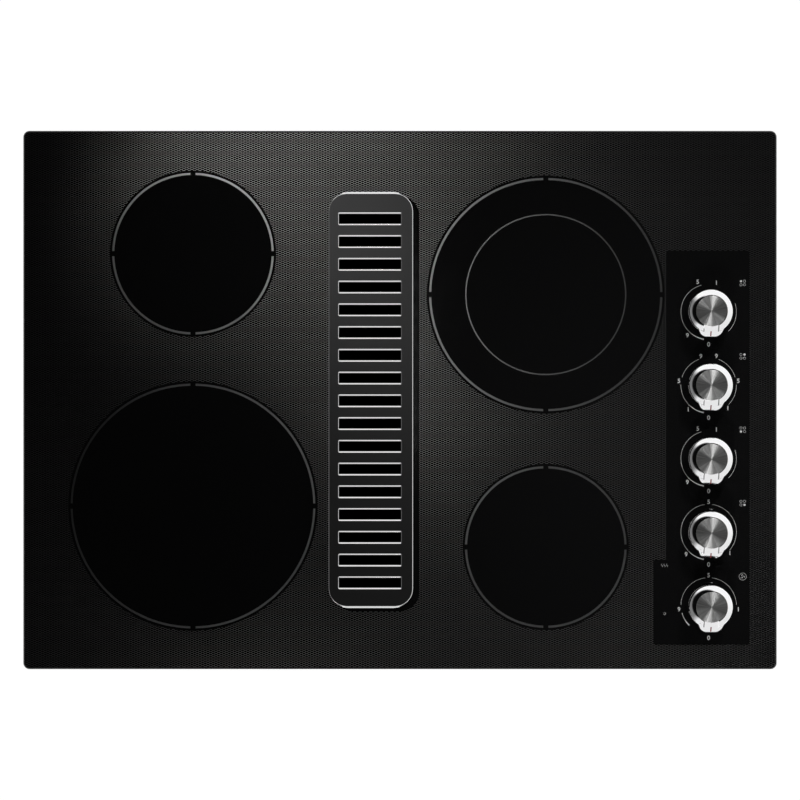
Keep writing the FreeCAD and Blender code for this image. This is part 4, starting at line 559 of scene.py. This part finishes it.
# Speckled finishes: dark tone, light tone, metallic, least and greatest roughness, grain per metre,
# relief (metres)
SPECKLED = {
    "seal_foam": ((0.020, 0.020, 0.021), (0.050, 0.050, 0.052), 0.0, 0.80, 0.95, 900.0, 0.00025),
    "grey_silicone": ((0.20, 0.20, 0.205), (0.27, 0.27, 0.275), 0.0, 0.42, 0.55, 180.0, 0.00010),
    "zinc_screw": ((0.46, 0.45, 0.40), (0.66, 0.65, 0.60), 1.0, 0.24, 0.38, 700.0, 0.00002),
    "zinc_strap": ((0.44, 0.44, 0.42), (0.60, 0.60, 0.58), 1.0, 0.28, 0.42, 320.0, 0.00002),
    "black_sheet": ((0.010, 0.010, 0.011), (0.022, 0.022, 0.023), 0.0, 0.36, 0.50, 1400.0, 0.00004),
    "black_rubber": ((0.012, 0.012, 0.012), (0.028, 0.028, 0.028), 0.0, 0.60, 0.78, 1000.0, 0.00005),
    "filter_aluminium": ((0.50, 0.50, 0.505), (0.66, 0.66, 0.665), 0.6, 0.28, 0.42, 420.0, 0.00002),
    "plain_steel": ((0.40, 0.39, 0.38), (0.56, 0.55, 0.54), 1.0, 0.25, 0.40, 260.0, 0.00002),
    "motor_paint": ((0.018, 0.019, 0.021), (0.035, 0.036, 0.039), 0.0, 0.34, 0.48, 1100.0, 0.00006),
    "capacitor_can": ((0.58, 0.58, 0.59), (0.74, 0.74, 0.75), 1.0, 0.28, 0.40, 200.0, 0.00002),
    "ceramic_white": ((0.68, 0.66, 0.62), (0.82, 0.80, 0.76), 0.0, 0.50, 0.65, 900.0, 0.00004),
    "fibre_board": ((0.62, 0.58, 0.50), (0.80, 0.77, 0.70), 0.0, 0.85, 0.95, 700.0, 0.00020),
    "heating_ribbon": ((0.16, 0.13, 0.11), (0.30, 0.25, 0.21), 1.0, 0.38, 0.55, 500.0, 0.00004),
    "phenolic": ((0.020, 0.017, 0.015), (0.045, 0.040, 0.036), 0.0, 0.38, 0.50, 800.0, 0.00004),
    "cam_plastic": ((0.56, 0.55, 0.50), (0.68, 0.67, 0.62), 0.0, 0.36, 0.48, 600.0, 0.00003),
    "lamp_red": ((0.36, 0.016, 0.012), (0.52, 0.026, 0.020), 0.0, 0.12, 0.20, 300.0, 0.00001),
    "lead_jacket": ((0.10, 0.10, 0.105), (0.16, 0.16, 0.165), 0.0, 0.40, 0.52, 700.0, 0.00004),
}


def speckled(name):
    """Two tones in a fine grain and a slow drift, with some relief."""
    dark, light, metallic, smooth, rough, scale, relief = SPECKLED[name]
    material, nodes, feed = surface(name, metallic=metallic)
    place = nodes.place()
    grain = nodes.noise(place, scale)
    drift = nodes.noise(place, scale=14.0)
    tone = nodes.remap(nodes.mix(0.4, grain, drift), 0.3, 0.7)
    feed("Base Color", nodes.blend(tone, dark, light))
    feed("Roughness", nodes.remap(grain, 0.25, 0.75, smooth, rough))
    feed("Normal", nodes.bump(grain, relief))
    return material


FINISHES = {
    "black_glass": black_glass,
    "knob_chrome": knob_chrome,
    "knob_spun_metal": knob_spun_metal,
    "galvanised_sheet": galvanised_sheet,
    **dict.fromkeys(TONED, toned),
    **dict.fromkeys(SPECKLED, speckled),
}


def finish(name):
    """The material of that name, made on first use."""
    return bpy.data.materials.get("cooktop_" + name) or FINISHES[name](name)


def add_object(name, bm, *materials):
    """Turns a working mesh into an object of the scene."""
    mesh = bpy.data.meshes.new(name)
    bm.to_mesh(mesh)
    bm.free()
    for material in materials:
        mesh.materials.append(material)
    made = bpy.data.objects.new(name, mesh)
    bpy.context.scene.collection.objects.link(made)
    return made


def smooth_faces(piece, degrees):
    """Shades a piece smooth, apart from the edges that turn by more than the angle."""
    piece.data.shade_smooth()
    piece.data.set_sharp_from_angle(angle=math.radians(degrees))


def add_turned(bm, profile, centre, steps):
    """Turns a profile of (radius, height) points once round an upright axis."""
    verts = [bm.verts.new((centre.x + radius, centre.y, height)) for radius, height in profile]
    edges = [bm.edges.new(pair) for pair in zip(verts, verts[1:])]
    bmesh.ops.spin(
        bm, geom=verts + edges, cent=(centre.x, centre.y, 0.0), axis=(0, 0, 1), dvec=(0, 0, 0),
        angle=2 * math.pi, steps=steps, use_merge=True, use_duplicate=False
    )
    bmesh.ops.remove_doubles(bm, verts=bm.verts, dist=MERGE_DISTANCE)
    bmesh.ops.recalc_face_normals(bm, faces=bm.faces)


def toward(degrees):
    """A flat direction, clockwise from the back."""
    turn = math.radians(degrees)
    return Vector((math.sin(turn), math.cos(turn), 0.0))


def add_arc(bm, centre, radius, width, start, end, end_width=None):
    """Adds a flat ink line along a circle; angles run clockwise from the back, in degrees."""
    ink = sizes("print")
    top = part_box("glass_top")[1].z
    sweep = math.radians(end - start)
    before = set(bm.verts)
    verts = []
    for side, lift in ((-0.5, -ink.sink), (0.5, -ink.sink), (0.5, ink.rise), (-0.5, ink.rise)):
        spot = centre + toward(start) * (radius + side * width)
        verts.append(bm.verts.new((spot.x, spot.y, top + lift)))
    edges = [bm.edges.new((verts[i], verts[(i + 1) % 4])) for i in range(4)]
    whole = abs(end - start) >= 360
    spun = bmesh.ops.spin(
        bm, geom=verts + edges, cent=centre, axis=(0, 0, -1), dvec=(0, 0, 0), angle=sweep,
        steps=max(ARC_LEAST, math.ceil(abs(sweep) / ARC_STEP)), use_merge=whole, use_duplicate=False
    )
    if whole:
        return
    last = [part for part in spun["geom_last"] if isinstance(part, bmesh.types.BMEdge)]
    bmesh.ops.contextual_create(bm, geom=edges)
    bmesh.ops.contextual_create(bm, geom=last)
    if end_width is None:
        return
    # The line widens or thins evenly from its start to its end
    for vert in set(bm.verts) - before:
        away = Vector((vert.co.x - centre.x, vert.co.y - centre.y, 0.0))
        turn = (math.atan2(away.x, away.y) - math.radians(start)) / sweep
        share = turn % (2 * math.pi / abs(sweep))
        scale = 1.0 + (end_width / width - 1.0) * min(1.0, share)
        reach = radius + (away.length - radius) * scale
        vert.co.x = centre.x + away.x / away.length * reach
        vert.co.y = centre.y + away.y / away.length * reach


def add_figure(bm, figure, height, centre):
    """Adds an upright figure of ink, centred on a point of the glass."""
    ink = sizes("print")
    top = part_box("glass_top")[1].z
    curve = bpy.data.curves.new("figure", "FONT")
    curve.body = figure
    curve.size = height / FIGURE_SHARE
    curve.space_character = FIGURE_SPACING
    curve.align_x = "CENTER"
    curve.align_y = "CENTER"
    curve.offset = ink.figure_bold
    curve.extrude = (ink.rise + ink.sink) / 2
    holder = bpy.data.objects.new("figure", curve)
    mesh = bpy.data.meshes.new_from_object(holder)
    mesh.transform(Matrix.Translation((centre.x, centre.y, top + (ink.rise - ink.sink) / 2)))
    bm.from_mesh(mesh)
    bpy.data.objects.remove(holder)
    bpy.data.curves.remove(curve)
    bpy.data.meshes.remove(mesh)


def add_locator(bm, corner, filled):
    """Four dots in a square, one for each element; the knob's own element is filled in."""
    ink = sizes("print")
    for column in (0, 1):
        for row in (0, 1):
            spot = corner + Vector(((column - 0.5) * ink.icon_pitch, (row - 0.5) * ink.icon_pitch, 0.0))
            if (column, row) == filled:
                add_arc(bm, spot, ink.icon_radius / 2, ink.icon_radius, 0, 360)
            else:
                add_arc(bm, spot, ink.icon_radius, ink.icon_line, 0, 360)


def add_fan_mark(bm, middle):
    """A ring round three curved blades, which thin out towards their tips."""
    ink = sizes("print")
    radius = ink.icon_pitch
    away, bend, root, tip = (share * radius for share in FAN_BLADE)
    add_arc(bm, middle, radius, ink.icon_line, 0, 360)
    for turn in (0, 120, 240):
        start, end = (turn + limit for limit in FAN_SWEEP)
        add_arc(bm, middle + toward(turn) * away, bend, root, start, end, tip)


def carve(target, other, operation):
    """Joins or cuts the target's mesh with another object, which is then removed."""
    change = target.modifiers.new(operation, "BOOLEAN")
    change.operation = operation
    change.solver = "EXACT"
    change.object = other
    graph = bpy.context.evaluated_depsgraph_get()
    mesh = bpy.data.meshes.new_from_object(target.evaluated_get(graph))
    target.modifiers.clear()
    old = target.data
    target.data = mesh
    bpy.data.meshes.remove(old)
    bpy.data.objects.remove(other)


class COOKTOP_OT_finish_nodes(bpy.types.Operator):
    """Gives every carried-over part the finish of its material slot"""

    bl_idname = "cooktop.finish_nodes"
    bl_label = "Finish Parts"

    def execute(self, context):
        for name, node in frame["nodes"].items():
            node.data.materials.clear()
            node.data.materials.append(finish(SLOTS[name]))
        return {"FINISHED"}


class COOKTOP_OT_element_rings(bpy.types.Operator):
    """Prints the broken line round each element"""

    bl_idname = "cooktop.element_rings"
    bl_label = "Element Rings"

    def execute(self, context):
        ink = sizes("print")
        for name, (x, y, radius, inner) in ELEMENTS.items():
            bm = bmesh.new()
            centre = Vector((x, y, 0.0))
            half_gap = math.degrees(ink.ring_gap / radius) / 2
            for start in (0, 90, 180, 270):
                add_arc(bm, centre, radius, ink.ring_width, start + half_gap, start + 90 - half_gap)
            if inner:
                add_arc(bm, centre, inner, ink.inner_width, 0, 360)
            bmesh.ops.recalc_face_normals(bm, faces=bm.faces)
            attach(add_object("ring_print_" + name, bm, finish("ring_ink")), BODY)
        return {"FINISHED"}


class COOKTOP_OT_dial_print(bpy.types.Operator):
    """Prints figures, arcs and a zero round each knob, with a mark for what it controls"""

    bl_idname = "cooktop.dial_print"
    bl_label = "Dial Print"

    def execute(self, context):
        ink = sizes("print")
        for name in KNOBS:
            dial = DIALS[name]
            axis = knob_axis(name)
            bm = bmesh.new()
            for start, end in dial["arcs"]:
                add_arc(bm, axis, ink.dial_radius, ink.dial_line, start, end)
            front, back = dial["swell"]
            add_arc(bm, axis, ink.dial_radius, ink.dial_line, back, front, ink.swell_line)
            for figure, turn in dial["figures"]:
                beside_arc = any(start <= turn <= end for start, end in (*dial["arcs"], dial["swell"]))
                reach = ink.outer_radius if beside_arc else ink.figure_radius
                add_figure(bm, figure, ink.figure_height, axis + toward(turn) * reach)
            add_figure(bm, "0", ink.zero_height, axis + toward(180) * ink.zero_drop)
            corner = axis + Vector((ink.icon_x, ink.icon_y, 0.0))
            if dial["locator"] is None:
                add_fan_mark(bm, corner)
            else:
                add_locator(bm, corner, dial["locator"])
            bmesh.ops.recalc_face_normals(bm, faces=bm.faces)
            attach(add_object("dial_print_" + name, bm, finish("dial_ink")), BODY)
        return {"FINISHED"}


class COOKTOP_OT_lamp_print(bpy.types.Operator):
    """Prints a warmth mark and a power mark beside the indicator lamps"""

    bl_idname = "cooktop.lamp_print"
    bl_label = "Lamp Print"

    def execute(self, context):
        ink = sizes("print")
        low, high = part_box("indicator_lamps")
        across = (low.x + high.x) / 2
        bend = ink.wave_radius
        bm = bmesh.new()
        for column in (-1, 0, 1):
            spot = Vector((across + column * ink.wave_pitch, high.y + ink.warmth_back, 0.0))
            add_arc(bm, spot + toward(0) * bend, bend, ink.icon_line, 180, 360)
            add_arc(bm, spot + toward(180) * bend, bend, ink.icon_line, 0, 180)
        spot = Vector((across, low.y + ink.power_back, 0.0))
        gap = math.degrees(ink.power_gap)
        add_arc(bm, spot, ink.icon_radius, ink.icon_line, gap, 360 - gap)
        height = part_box("glass_top")[1].z + (ink.rise - ink.sink) / 2
        place = Matrix.Translation((spot.x, spot.y + ink.power_rise, height))
        bar = Matrix.Diagonal((ink.icon_line, ink.icon_radius, ink.rise + ink.sink, 1.0))
        bmesh.ops.create_cube(bm, size=1.0, matrix=place @ bar)
        bmesh.ops.recalc_face_normals(bm, faces=bm.faces)
        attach(add_object("lamp_print", bm, finish("dial_ink")), BODY)
        return {"FINISHED"}


class COOKTOP_OT_vent_grille(bpy.types.Operator):
    """Builds the slotted grille with a skirt, a bevelled outer edge and bevelled slots"""

    bl_idname = "cooktop.vent_grille"
    bl_label = "Vent Grille"

    def outline(self, bm, low, high, corner, height):
        """A closed loop of edges along a rectangle with rounded corners."""
        middle = ((low[0] + high[0]) / 2, (low[1] + high[1]) / 2, height)
        shape = Matrix.Translation(middle) @ Matrix.Diagonal((high[0] - low[0], high[1] - low[1], 1.0, 1.0))
        made = bmesh.ops.create_grid(bm, x_segments=1, y_segments=1, size=0.5, matrix=shape)
        rounded = bmesh.ops.bevel(
            bm, geom=made["verts"], offset=corner, offset_type="OFFSET", segments=CORNER_STEPS, profile=0.5,
            affect="VERTICES", material=-1
        )
        face = rounded["verts"][0].link_faces[0]
        edges = list(face.edges)
        bmesh.ops.delete(bm, geom=[face], context="FACES_ONLY")
        return edges

    def inset(self, bm, box, across, along, height):
        """A loop inside the grille's outline, by one distance at the sides and another at the ends."""
        low, high = box
        corner = sizes("grille").corner - max(across, along)
        low, high = (low.x + across, low.y + along), (high.x - across, high.y - along)
        return self.outline(bm, low, high, corner, height)

    def slot(self, bm, centre, top):
        """Loops from a slot's bevelled upper edge down to the plate's underside."""
        grille = sizes("grille")
        steps = (
            (grille.end_bevel, grille.slot_bevel, 0.0),
            (0.0, grille.slot_bevel - grille.end_bevel, grille.end_bevel * grille.bevel_slope),
            (0.0, 0.0, grille.slot_bevel * grille.bevel_slope),
            (0.0, 0.0, grille.plate),
        )
        loops = []
        for across, along, drop in steps:
            half = Vector((grille.slot_width / 2 + across, grille.slot_depth / 2 + along))
            corner = grille.slot_corner + across
            loops.append(self.outline(bm, centre - half, centre + half, corner, top - drop))
        return loops

    def execute(self, context):
        grille = sizes("grille")
        low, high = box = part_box("vent_grille")
        bm = bmesh.new()
        rest = grille.edge_bevel - grille.side_bevel
        rings = [
            self.inset(bm, box, grille.side_bevel, grille.edge_bevel, high.z),
            self.inset(bm, box, 0.0, rest, high.z - grille.side_bevel * grille.bevel_slope),
            self.inset(bm, box, 0.0, 0.0, high.z - grille.edge_bevel * grille.bevel_slope),
            self.inset(bm, box, 0.0, 0.0, low.z),
            self.inset(bm, box, grille.wall, grille.wall, low.z),
            self.inset(bm, box, grille.wall, grille.wall, high.z - grille.plate),
        ]
        walls = list(zip(rings, rings[1:]))
        top, bottom = list(rings[0]), list(rings[-1])
        middle = (low + high) / 2 - Vector((grille.slots_left, grille.slots_front, 0.0))
        for index in range(grille.slots):
            y = middle.y + (index - (grille.slots - 1) / 2) * grille.slot_pitch
            loops = self.slot(bm, Vector((middle.x, y)), high.z)
            walls += list(zip(loops, loops[1:]))
            top += loops[0]
            bottom += loops[-1]
        for first, second in walls:
            bmesh.ops.bridge_loops(bm, edges=first + second)
        bmesh.ops.triangle_fill(bm, use_beauty=True, edges=top, normal=(0, 0, 1))
        bmesh.ops.triangle_fill(bm, use_beauty=True, edges=bottom, normal=(0, 0, -1))
        bmesh.ops.recalc_face_normals(bm, faces=bm.faces)
        for face in bm.faces:
            face.material_index = 1 if UPRIGHT_FACE < face.normal.z < LEVEL_FACE else 0
        piece = add_object("slotted_grille", bm, finish("grille_satin"), finish("grille_polish"))
        smooth_faces(piece, GRILLE_CRISP)
        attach(piece, "grille")
        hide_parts("vent_grille")
        return {"FINISHED"}


class COOKTOP_OT_filter_mesh(bpy.types.Operator):
    """Fills the filter frame with two layers of expanded metal"""

    bl_idname = "cooktop.filter_mesh"
    bl_label = "Filter Mesh"

    def execute(self, context):
        mesh = sizes("filter")
        low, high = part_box("filter_mesh")
        middle = (low + high) / 2
        count = math.ceil((high - low).length / min(mesh.diamond_x, mesh.diamond_y))
        bm = bmesh.new()
        for layer in (-0.5, 0.5):
            made = bmesh.ops.create_grid(bm, x_segments=count, y_segments=count, size=count / 2)
            shape = (
                Matrix.Translation(middle + Vector((layer * mesh.diamond_x, 0.0, layer * mesh.layer_gap)))
                @ Matrix.Diagonal((mesh.diamond_x / math.sqrt(2), mesh.diamond_y / math.sqrt(2), 1.0, 1.0))
                @ Matrix.Rotation(math.radians(45), 4, "Z")
            )
            bmesh.ops.transform(bm, matrix=shape, verts=made["verts"])
        for point, normal in ((low, (-1, 0, 0)), (low, (0, -1, 0)), (high, (1, 0, 0)), (high, (0, 1, 0))):
            geom = bm.verts[:] + bm.edges[:] + bm.faces[:]
            bmesh.ops.bisect_plane(
                bm, geom=geom, dist=CUT_DISTANCE, plane_co=point, plane_no=normal, clear_outer=True
            )
        bmesh.ops.wireframe(
            bm, faces=bm.faces[:], thickness=mesh.strand, offset=0.0, use_replace=True, use_boundary=True,
            use_even_offset=False
        )
        piece = add_object("filter_expanded_mesh", bm, finish("filter_aluminium"))
        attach(piece, "filter")
        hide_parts("filter_mesh")
        return {"FINISHED"}


class COOKTOP_OT_knob_bodies(bpy.types.Operator):
    """Turns the chrome knobs and joins a faceted pointer to each"""

    bl_idname = "cooktop.knob_bodies"
    bl_label = "Knob Bodies"

    def bend(self, start, radius, tilts, steps):
        """Points of an arc that goes on from a point, outward and down, from one slope to another."""
        first, last = tilts
        points = []
        for step in range(steps + 1):
            tilt = first + (last - first) * step / steps
            out = radius * (math.sin(tilt) - math.sin(first))
            down = radius * (math.cos(first) - math.cos(tilt))
            points.append((start[0] + out, start[1] - down))
        return points

    def profile(self, low, high):
        """Radius and height of the points from the foot's middle to the middle of the cap's seat."""
        knob = sizes("knob")
        spread = math.sin(SHOULDER_TILT) - math.sin(CROWN_TILT)
        radius = (knob.shoulder_radius - knob.crown_radius) / spread
        tilts = (CROWN_TILT, SHOULDER_TILT)
        shoulder = self.bend((knob.crown_radius, high), radius, tilts, SHOULDER_STEPS)
        tilts = (SHOULDER_TILT, WALL_TILT)
        edge = self.bend(shoulder[-1], knob.edge_round, tilts, EDGE_STEPS)
        seat = knob.crown_radius - knob.rim
        return [
            (0.0, low),
            (knob.base_radius - knob.base_edge / 2, low),
            (knob.base_radius, low + knob.base_edge),
            *edge[:0:-1],
            *shoulder[::-1],
            (seat, high),
            (seat, high - knob.recess),
            (0.0, high - knob.recess),
        ]

    def facet(self, name):
        """A point of the facet on a knob's pointer, and its upward normal."""
        inner, outer = facet_ends(name)
        return inner, (outer - inner).cross(Vector((1.0, 0.0, 0.0))).normalized()

    def pointer(self, name, low, high):
        """The pointer's block, cut off along the facet."""
        knob = sizes("knob")
        axis = knob_axis(name)
        bm = bmesh.new()
        outline = (
            (-knob.pointer_root / 2, -knob.crown_radius), (-knob.pointer_tip / 2, -knob.pointer_reach),
            (knob.pointer_tip / 2, -knob.pointer_reach), (knob.pointer_root / 2, -knob.crown_radius),
        )
        verts = [bm.verts.new((axis.x + x, axis.y + y, low)) for x, y in outline]
        bm.faces.new(verts)
        bmesh.ops.bevel(
            bm, geom=verts[1:3], offset=knob.pointer_corner, segments=CORNER_STEPS, profile=0.5,
            affect="VERTICES", material=-1
        )
        grown = bmesh.ops.extrude_face_region(bm, geom=bm.faces[:])
        lifted = [part for part in grown["geom"] if isinstance(part, bmesh.types.BMVert)]
        bmesh.ops.translate(bm, verts=lifted, vec=(0.0, 0.0, high - low))
        point, normal = self.facet(name)
        cut = bmesh.ops.bisect_plane(
            bm, geom=bm.verts[:] + bm.edges[:] + bm.faces[:], dist=CUT_DISTANCE, plane_co=point,
            plane_no=normal, clear_outer=True
        )
        rim = [part for part in cut["geom_cut"] if isinstance(part, bmesh.types.BMEdge)]
        bmesh.ops.contextual_create(bm, geom=rim)
        bmesh.ops.recalc_face_normals(bm, faces=bm.faces)
        return add_object("pointer", bm, finish("knob_chrome"))

    def wedge(self, name):
        """What lies above the facet: as wide as the facet at its foot, and wider above."""
        knob = sizes("knob")
        point, normal = self.facet(name)
        run = knob.pointer_reach - knob.crown_radius
        height = knob.crown_radius
        bm = bmesh.new()
        made = bmesh.ops.create_cube(bm, size=1.0)
        for vert in made["verts"]:
            rise = (vert.co.z + 0.5) * height
            width = knob.facet_width + 2 * rise * knob.facet_flare
            # From one run inside the facet's inner edge to three runs outside it
            vert.co = Vector((vert.co.x * width, (4 * vert.co.y - 1) * run, rise))
        turn = Vector((0.0, 0.0, 1.0)).rotation_difference(normal).to_matrix().to_4x4()
        bmesh.ops.transform(bm, matrix=Matrix.Translation(point) @ turn, verts=bm.verts)
        return add_object("wedge", bm, finish("knob_chrome"))

    def execute(self, context):
        for name in KNOBS:
            low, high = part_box("knob_" + name)
            bm = bmesh.new()
            add_turned(bm, self.profile(low.z, high.z), knob_axis(name), KNOB_STEPS)
            body = add_object("chrome_knob_" + name, bm, finish("knob_chrome"))
            carve(body, self.wedge(name), "DIFFERENCE")
            carve(body, self.pointer(name, low.z, high.z), "UNION")
            smooth_faces(body, KNOB_CRISP)
            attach(body, "control_" + name)
            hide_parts("knob_" + name)
        return {"FINISHED"}


class COOKTOP_OT_knob_caps(bpy.types.Operator):
    """Turns a slightly domed spun cap for each knob"""

    bl_idname = "cooktop.knob_caps"
    bl_label = "Knob Caps"

    def profile(self, low, high):
        """Radius and height of the points from the dome's middle to the middle of the underside."""
        knob = sizes("knob")
        points = []
        for step in range(CAP_RINGS):
            share = step / CAP_RINGS
            points.append((knob.cap_radius * share, high - knob.cap_dome * share ** 2))
        edge = high - knob.cap_dome
        points.append((knob.cap_radius - knob.cap_edge, edge))
        points.append((knob.cap_radius, edge - knob.cap_edge_drop))
        return points + [(knob.cap_radius, low), (0.0, low)]

    def execute(self, context):
        for name in KNOBS:
            low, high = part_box("knob_cap_" + name)
            axis = knob_axis(name)
            bm = bmesh.new()
            add_turned(bm, self.profile(low.z, high.z), axis, CAP_STEPS)
            radius = bm.verts.layers.float.new("spun_radius")
            way = bm.verts.layers.float_vector.new("spun_way")
            for vert in bm.verts:
                outward = Vector((vert.co.x - axis.x, vert.co.y - axis.y, 0.0))
                vert[radius] = outward.length
                vert[way] = outward.normalized()
            cap = add_object("spun_cap_" + name, bm, finish("knob_spun_metal"))
            smooth_faces(cap, CAP_CRISP)
            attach(cap, "control_" + name)
            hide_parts("knob_cap_" + name)
        return {"FINISHED"}


class COOKTOP_OT_index_lines(bpy.types.Operator):
    """Paints a red line down the tip of each pointer"""

    bl_idname = "cooktop.index_lines"
    bl_label = "Index Lines"

    def execute(self, context):
        knob = sizes("knob")
        for name in KNOBS:
            inner, outer = facet_ends(name)
            slope = (inner - outer).normalized()
            middle = outer + slope * (knob.index_inset + knob.index_length / 2)
            tilt = math.atan2(slope.z, slope.y)
            shape = (
                Matrix.Translation(middle) @ Matrix.Rotation(tilt, 4, "X")
                @ Matrix.Diagonal((knob.index_width, knob.index_length, knob.index_paint, 1.0))
            )
            bm = bmesh.new()
            bmesh.ops.create_cube(bm, size=1.0, matrix=shape)
            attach(add_object("index_line_" + name, bm, finish("index_red")), "control_" + name)
        return {"FINISHED"}


class COOKTOP_OT_stage(bpy.types.Operator):
    """Sets the floor, the studio light and the camera above the glass"""

    bl_idname = "cooktop.stage"
    bl_label = "Stage"

    def floor_finish(self):
        """A floor that is white where it is seen, keeps the shadow and is clear from below."""
        stage = sizes("stage")
        material, nodes, feed = surface("studio_floor", roughness=0.9)
        feed("Base Color", sizes("colours").floor)
        tree = material.node_tree
        shaded = next(node for node in tree.nodes if node.type == "BSDF_PRINCIPLED").outputs[0]
        output = next(node for node in tree.nodes if node.type == "OUTPUT_MATERIAL")
        paths = nodes.add("ShaderNodeLightPath", {}).outputs
        seen = nodes.math("MAXIMUM", paths["Is Camera Ray"], paths["Is Transmission Ray"])
        seen = nodes.math("MAXIMUM", seen, paths["Is Glossy Ray"])
        share = nodes.math("MULTIPLY", seen, stage.floor_share)
        white = {"Color": (1.0, 1.0, 1.0), "Strength": stage.floor_light}
        pale = nodes.add("ShaderNodeEmission", white).outputs[0]
        top = nodes.add("ShaderNodeMixShader", {0: share, 1: shaded, 2: pale}).outputs[0]
        clear = nodes.add("ShaderNodeBsdfTransparent", {}).outputs[0]
        below = nodes.add("ShaderNodeNewGeometry", {}).outputs["Backfacing"]
        both = nodes.add("ShaderNodeMixShader", {0: below, 1: top, 2: clear}).outputs[0]
        nodes.feed(output.inputs["Surface"], both)
        return material

    def floor(self):
        bm = bmesh.new()
        ground = Matrix.Translation((0.0, 0.0, cad_low.z - FLOOR_GAP))
        half = sizes("stage").floor_size / 2
        bmesh.ops.create_grid(bm, x_segments=1, y_segments=1, size=half, matrix=ground)
        add_object("studio_floor", bm, self.floor_finish())

    def world(self):
        """Pale walls, dimmer on the left, under a dark ceiling; white where the camera sees them."""
        stage = sizes("stage")
        world = bpy.data.worlds.new("studio")
        world.use_nodes = True
        nodes = Nodes(world.node_tree)
        background = next(node for node in world.node_tree.nodes if node.type == "BACKGROUND")
        direction = nodes.add("ShaderNodeTexCoord", {}).outputs["Generated"]
        x, y, _ = nodes.split(direction)
        sides = nodes.remap(x, *LEFT_FADE, stage.left_light, stage.wall_light)
        ends = nodes.remap(y, *FRONT_FADE, stage.front_light, stage.wall_light)
        walls = nodes.math("MINIMUM", sides, ends)
        overhead = nodes.vector("DOT_PRODUCT", direction, Vector(CEILING_MIDDLE).normalized())
        ceiling = nodes.remap(overhead, math.cos(stage.ceiling_reach), math.cos(stage.ceiling_dark))
        level = nodes.mix(ceiling, walls, stage.ceiling_light)
        paths = nodes.add("ShaderNodeLightPath", {}).outputs
        nodes.feed(background.inputs["Strength"], nodes.math("MAXIMUM", level, paths["Is Camera Ray"]))
        nodes.feed(background.inputs["Color"], (1.0, 1.0, 1.0))
        bpy.context.scene.world = world

    def lamp(self, name, place, aim, reach, size, strength):
        """A soft box behind a grid, which lights only a round of the glass."""
        beam = Vector((*aim, 0.0)) - Vector(place)
        slope = reach / beam.length
        half = math.atan(slope)
        light = bpy.data.lights.new(name, "AREA")
        light.shape = "RECTANGLE"
        light.size, light.size_y = size
        light.spread = 2 * half
        # A narrower spread brightens the axis, and the last factor makes up for that
        light.energy = math.pi * strength * sizes("stage").lamp_light * (slope - half) / slope
        holder = bpy.data.objects.new(name, light)
        holder.location = place
        holder.rotation_mode = "QUATERNION"
        holder.rotation_quaternion = Vector((0.0, 0.0, -1.0)).rotation_difference(beam)
        holder.visible_camera = False
        bpy.context.scene.collection.objects.link(holder)

    def camera(self):
        stage = sizes("stage")
        lens = bpy.data.cameras.new("camera")
        lens.sensor_width = SENSOR_WIDTH
        lens.lens = SENSOR_WIDTH * stage.camera_height / stage.frame_width
        holder = bpy.data.objects.new("camera", lens)
        holder.location = (0.0, 0.0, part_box("glass_top")[1].z + stage.camera_height)
        bpy.context.scene.collection.objects.link(holder)
        bpy.context.scene.camera = holder

    def execute(self, context):
        self.floor()
        self.world()
        for name, lamp in LAMPS.items():
            self.lamp(name, *lamp)
        self.camera()
        context.scene.view_settings.view_transform = "Standard"
        return {"FINISHED"}


STEPS = (
    COOKTOP_OT_finish_nodes,
    COOKTOP_OT_element_rings,
    COOKTOP_OT_dial_print,
    COOKTOP_OT_lamp_print,
    COOKTOP_OT_vent_grille,
    COOKTOP_OT_filter_mesh,
    COOKTOP_OT_knob_bodies,
    COOKTOP_OT_knob_caps,
    COOKTOP_OT_index_lines,
    COOKTOP_OT_stage,
)


class COOKTOP_PT_looks(bpy.types.Panel):
    """Lists the steps that dress the cooktop"""

    bl_idname = "COOKTOP_PT_looks"
    bl_label = "Cooktop"
    bl_space_type = "VIEW_3D"
    bl_region_type = "UI"
    bl_category = "Cooktop"

    def draw(self, context):
        for step in STEPS:
            self.layout.operator(step.bl_idname)


GROUPS = {
    "print": CooktopPrintSizes,
    "panel": CooktopPanelSizes,
    "knob": CooktopKnobSizes,
    "grille": CooktopGrilleSizes,
    "filter": CooktopFilterSizes,
    "colours": CooktopColours,
    "stage": CooktopStageSizes,
}


def register():
    for name, group in GROUPS.items():
        bpy.utils.register_class(group)
        setattr(bpy.types.Scene, "cooktop_" + name, bpy.props.PointerProperty(type=group))
    for step in STEPS:
        bpy.utils.register_class(step)
    bpy.utils.register_class(COOKTOP_PT_looks)


def unregister():
    bpy.utils.unregister_class(COOKTOP_PT_looks)
    for step in reversed(STEPS):
        bpy.utils.unregister_class(step)
    for name, group in GROUPS.items():
        delattr(bpy.types.Scene, "cooktop_" + name)
        bpy.utils.unregister_class(group)


def main():
    register()
    bpy.ops.cooktop.finish_nodes()
    bpy.ops.cooktop.element_rings()
    bpy.ops.cooktop.dial_print()
    bpy.ops.cooktop.lamp_print()
    bpy.ops.cooktop.vent_grille()
    bpy.ops.cooktop.filter_mesh()
    bpy.ops.cooktop.knob_bodies()
    bpy.ops.cooktop.knob_caps()
    bpy.ops.cooktop.index_lines()
    bpy.ops.cooktop.stage()
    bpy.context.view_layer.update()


if __name__ == "__main__":
    main()
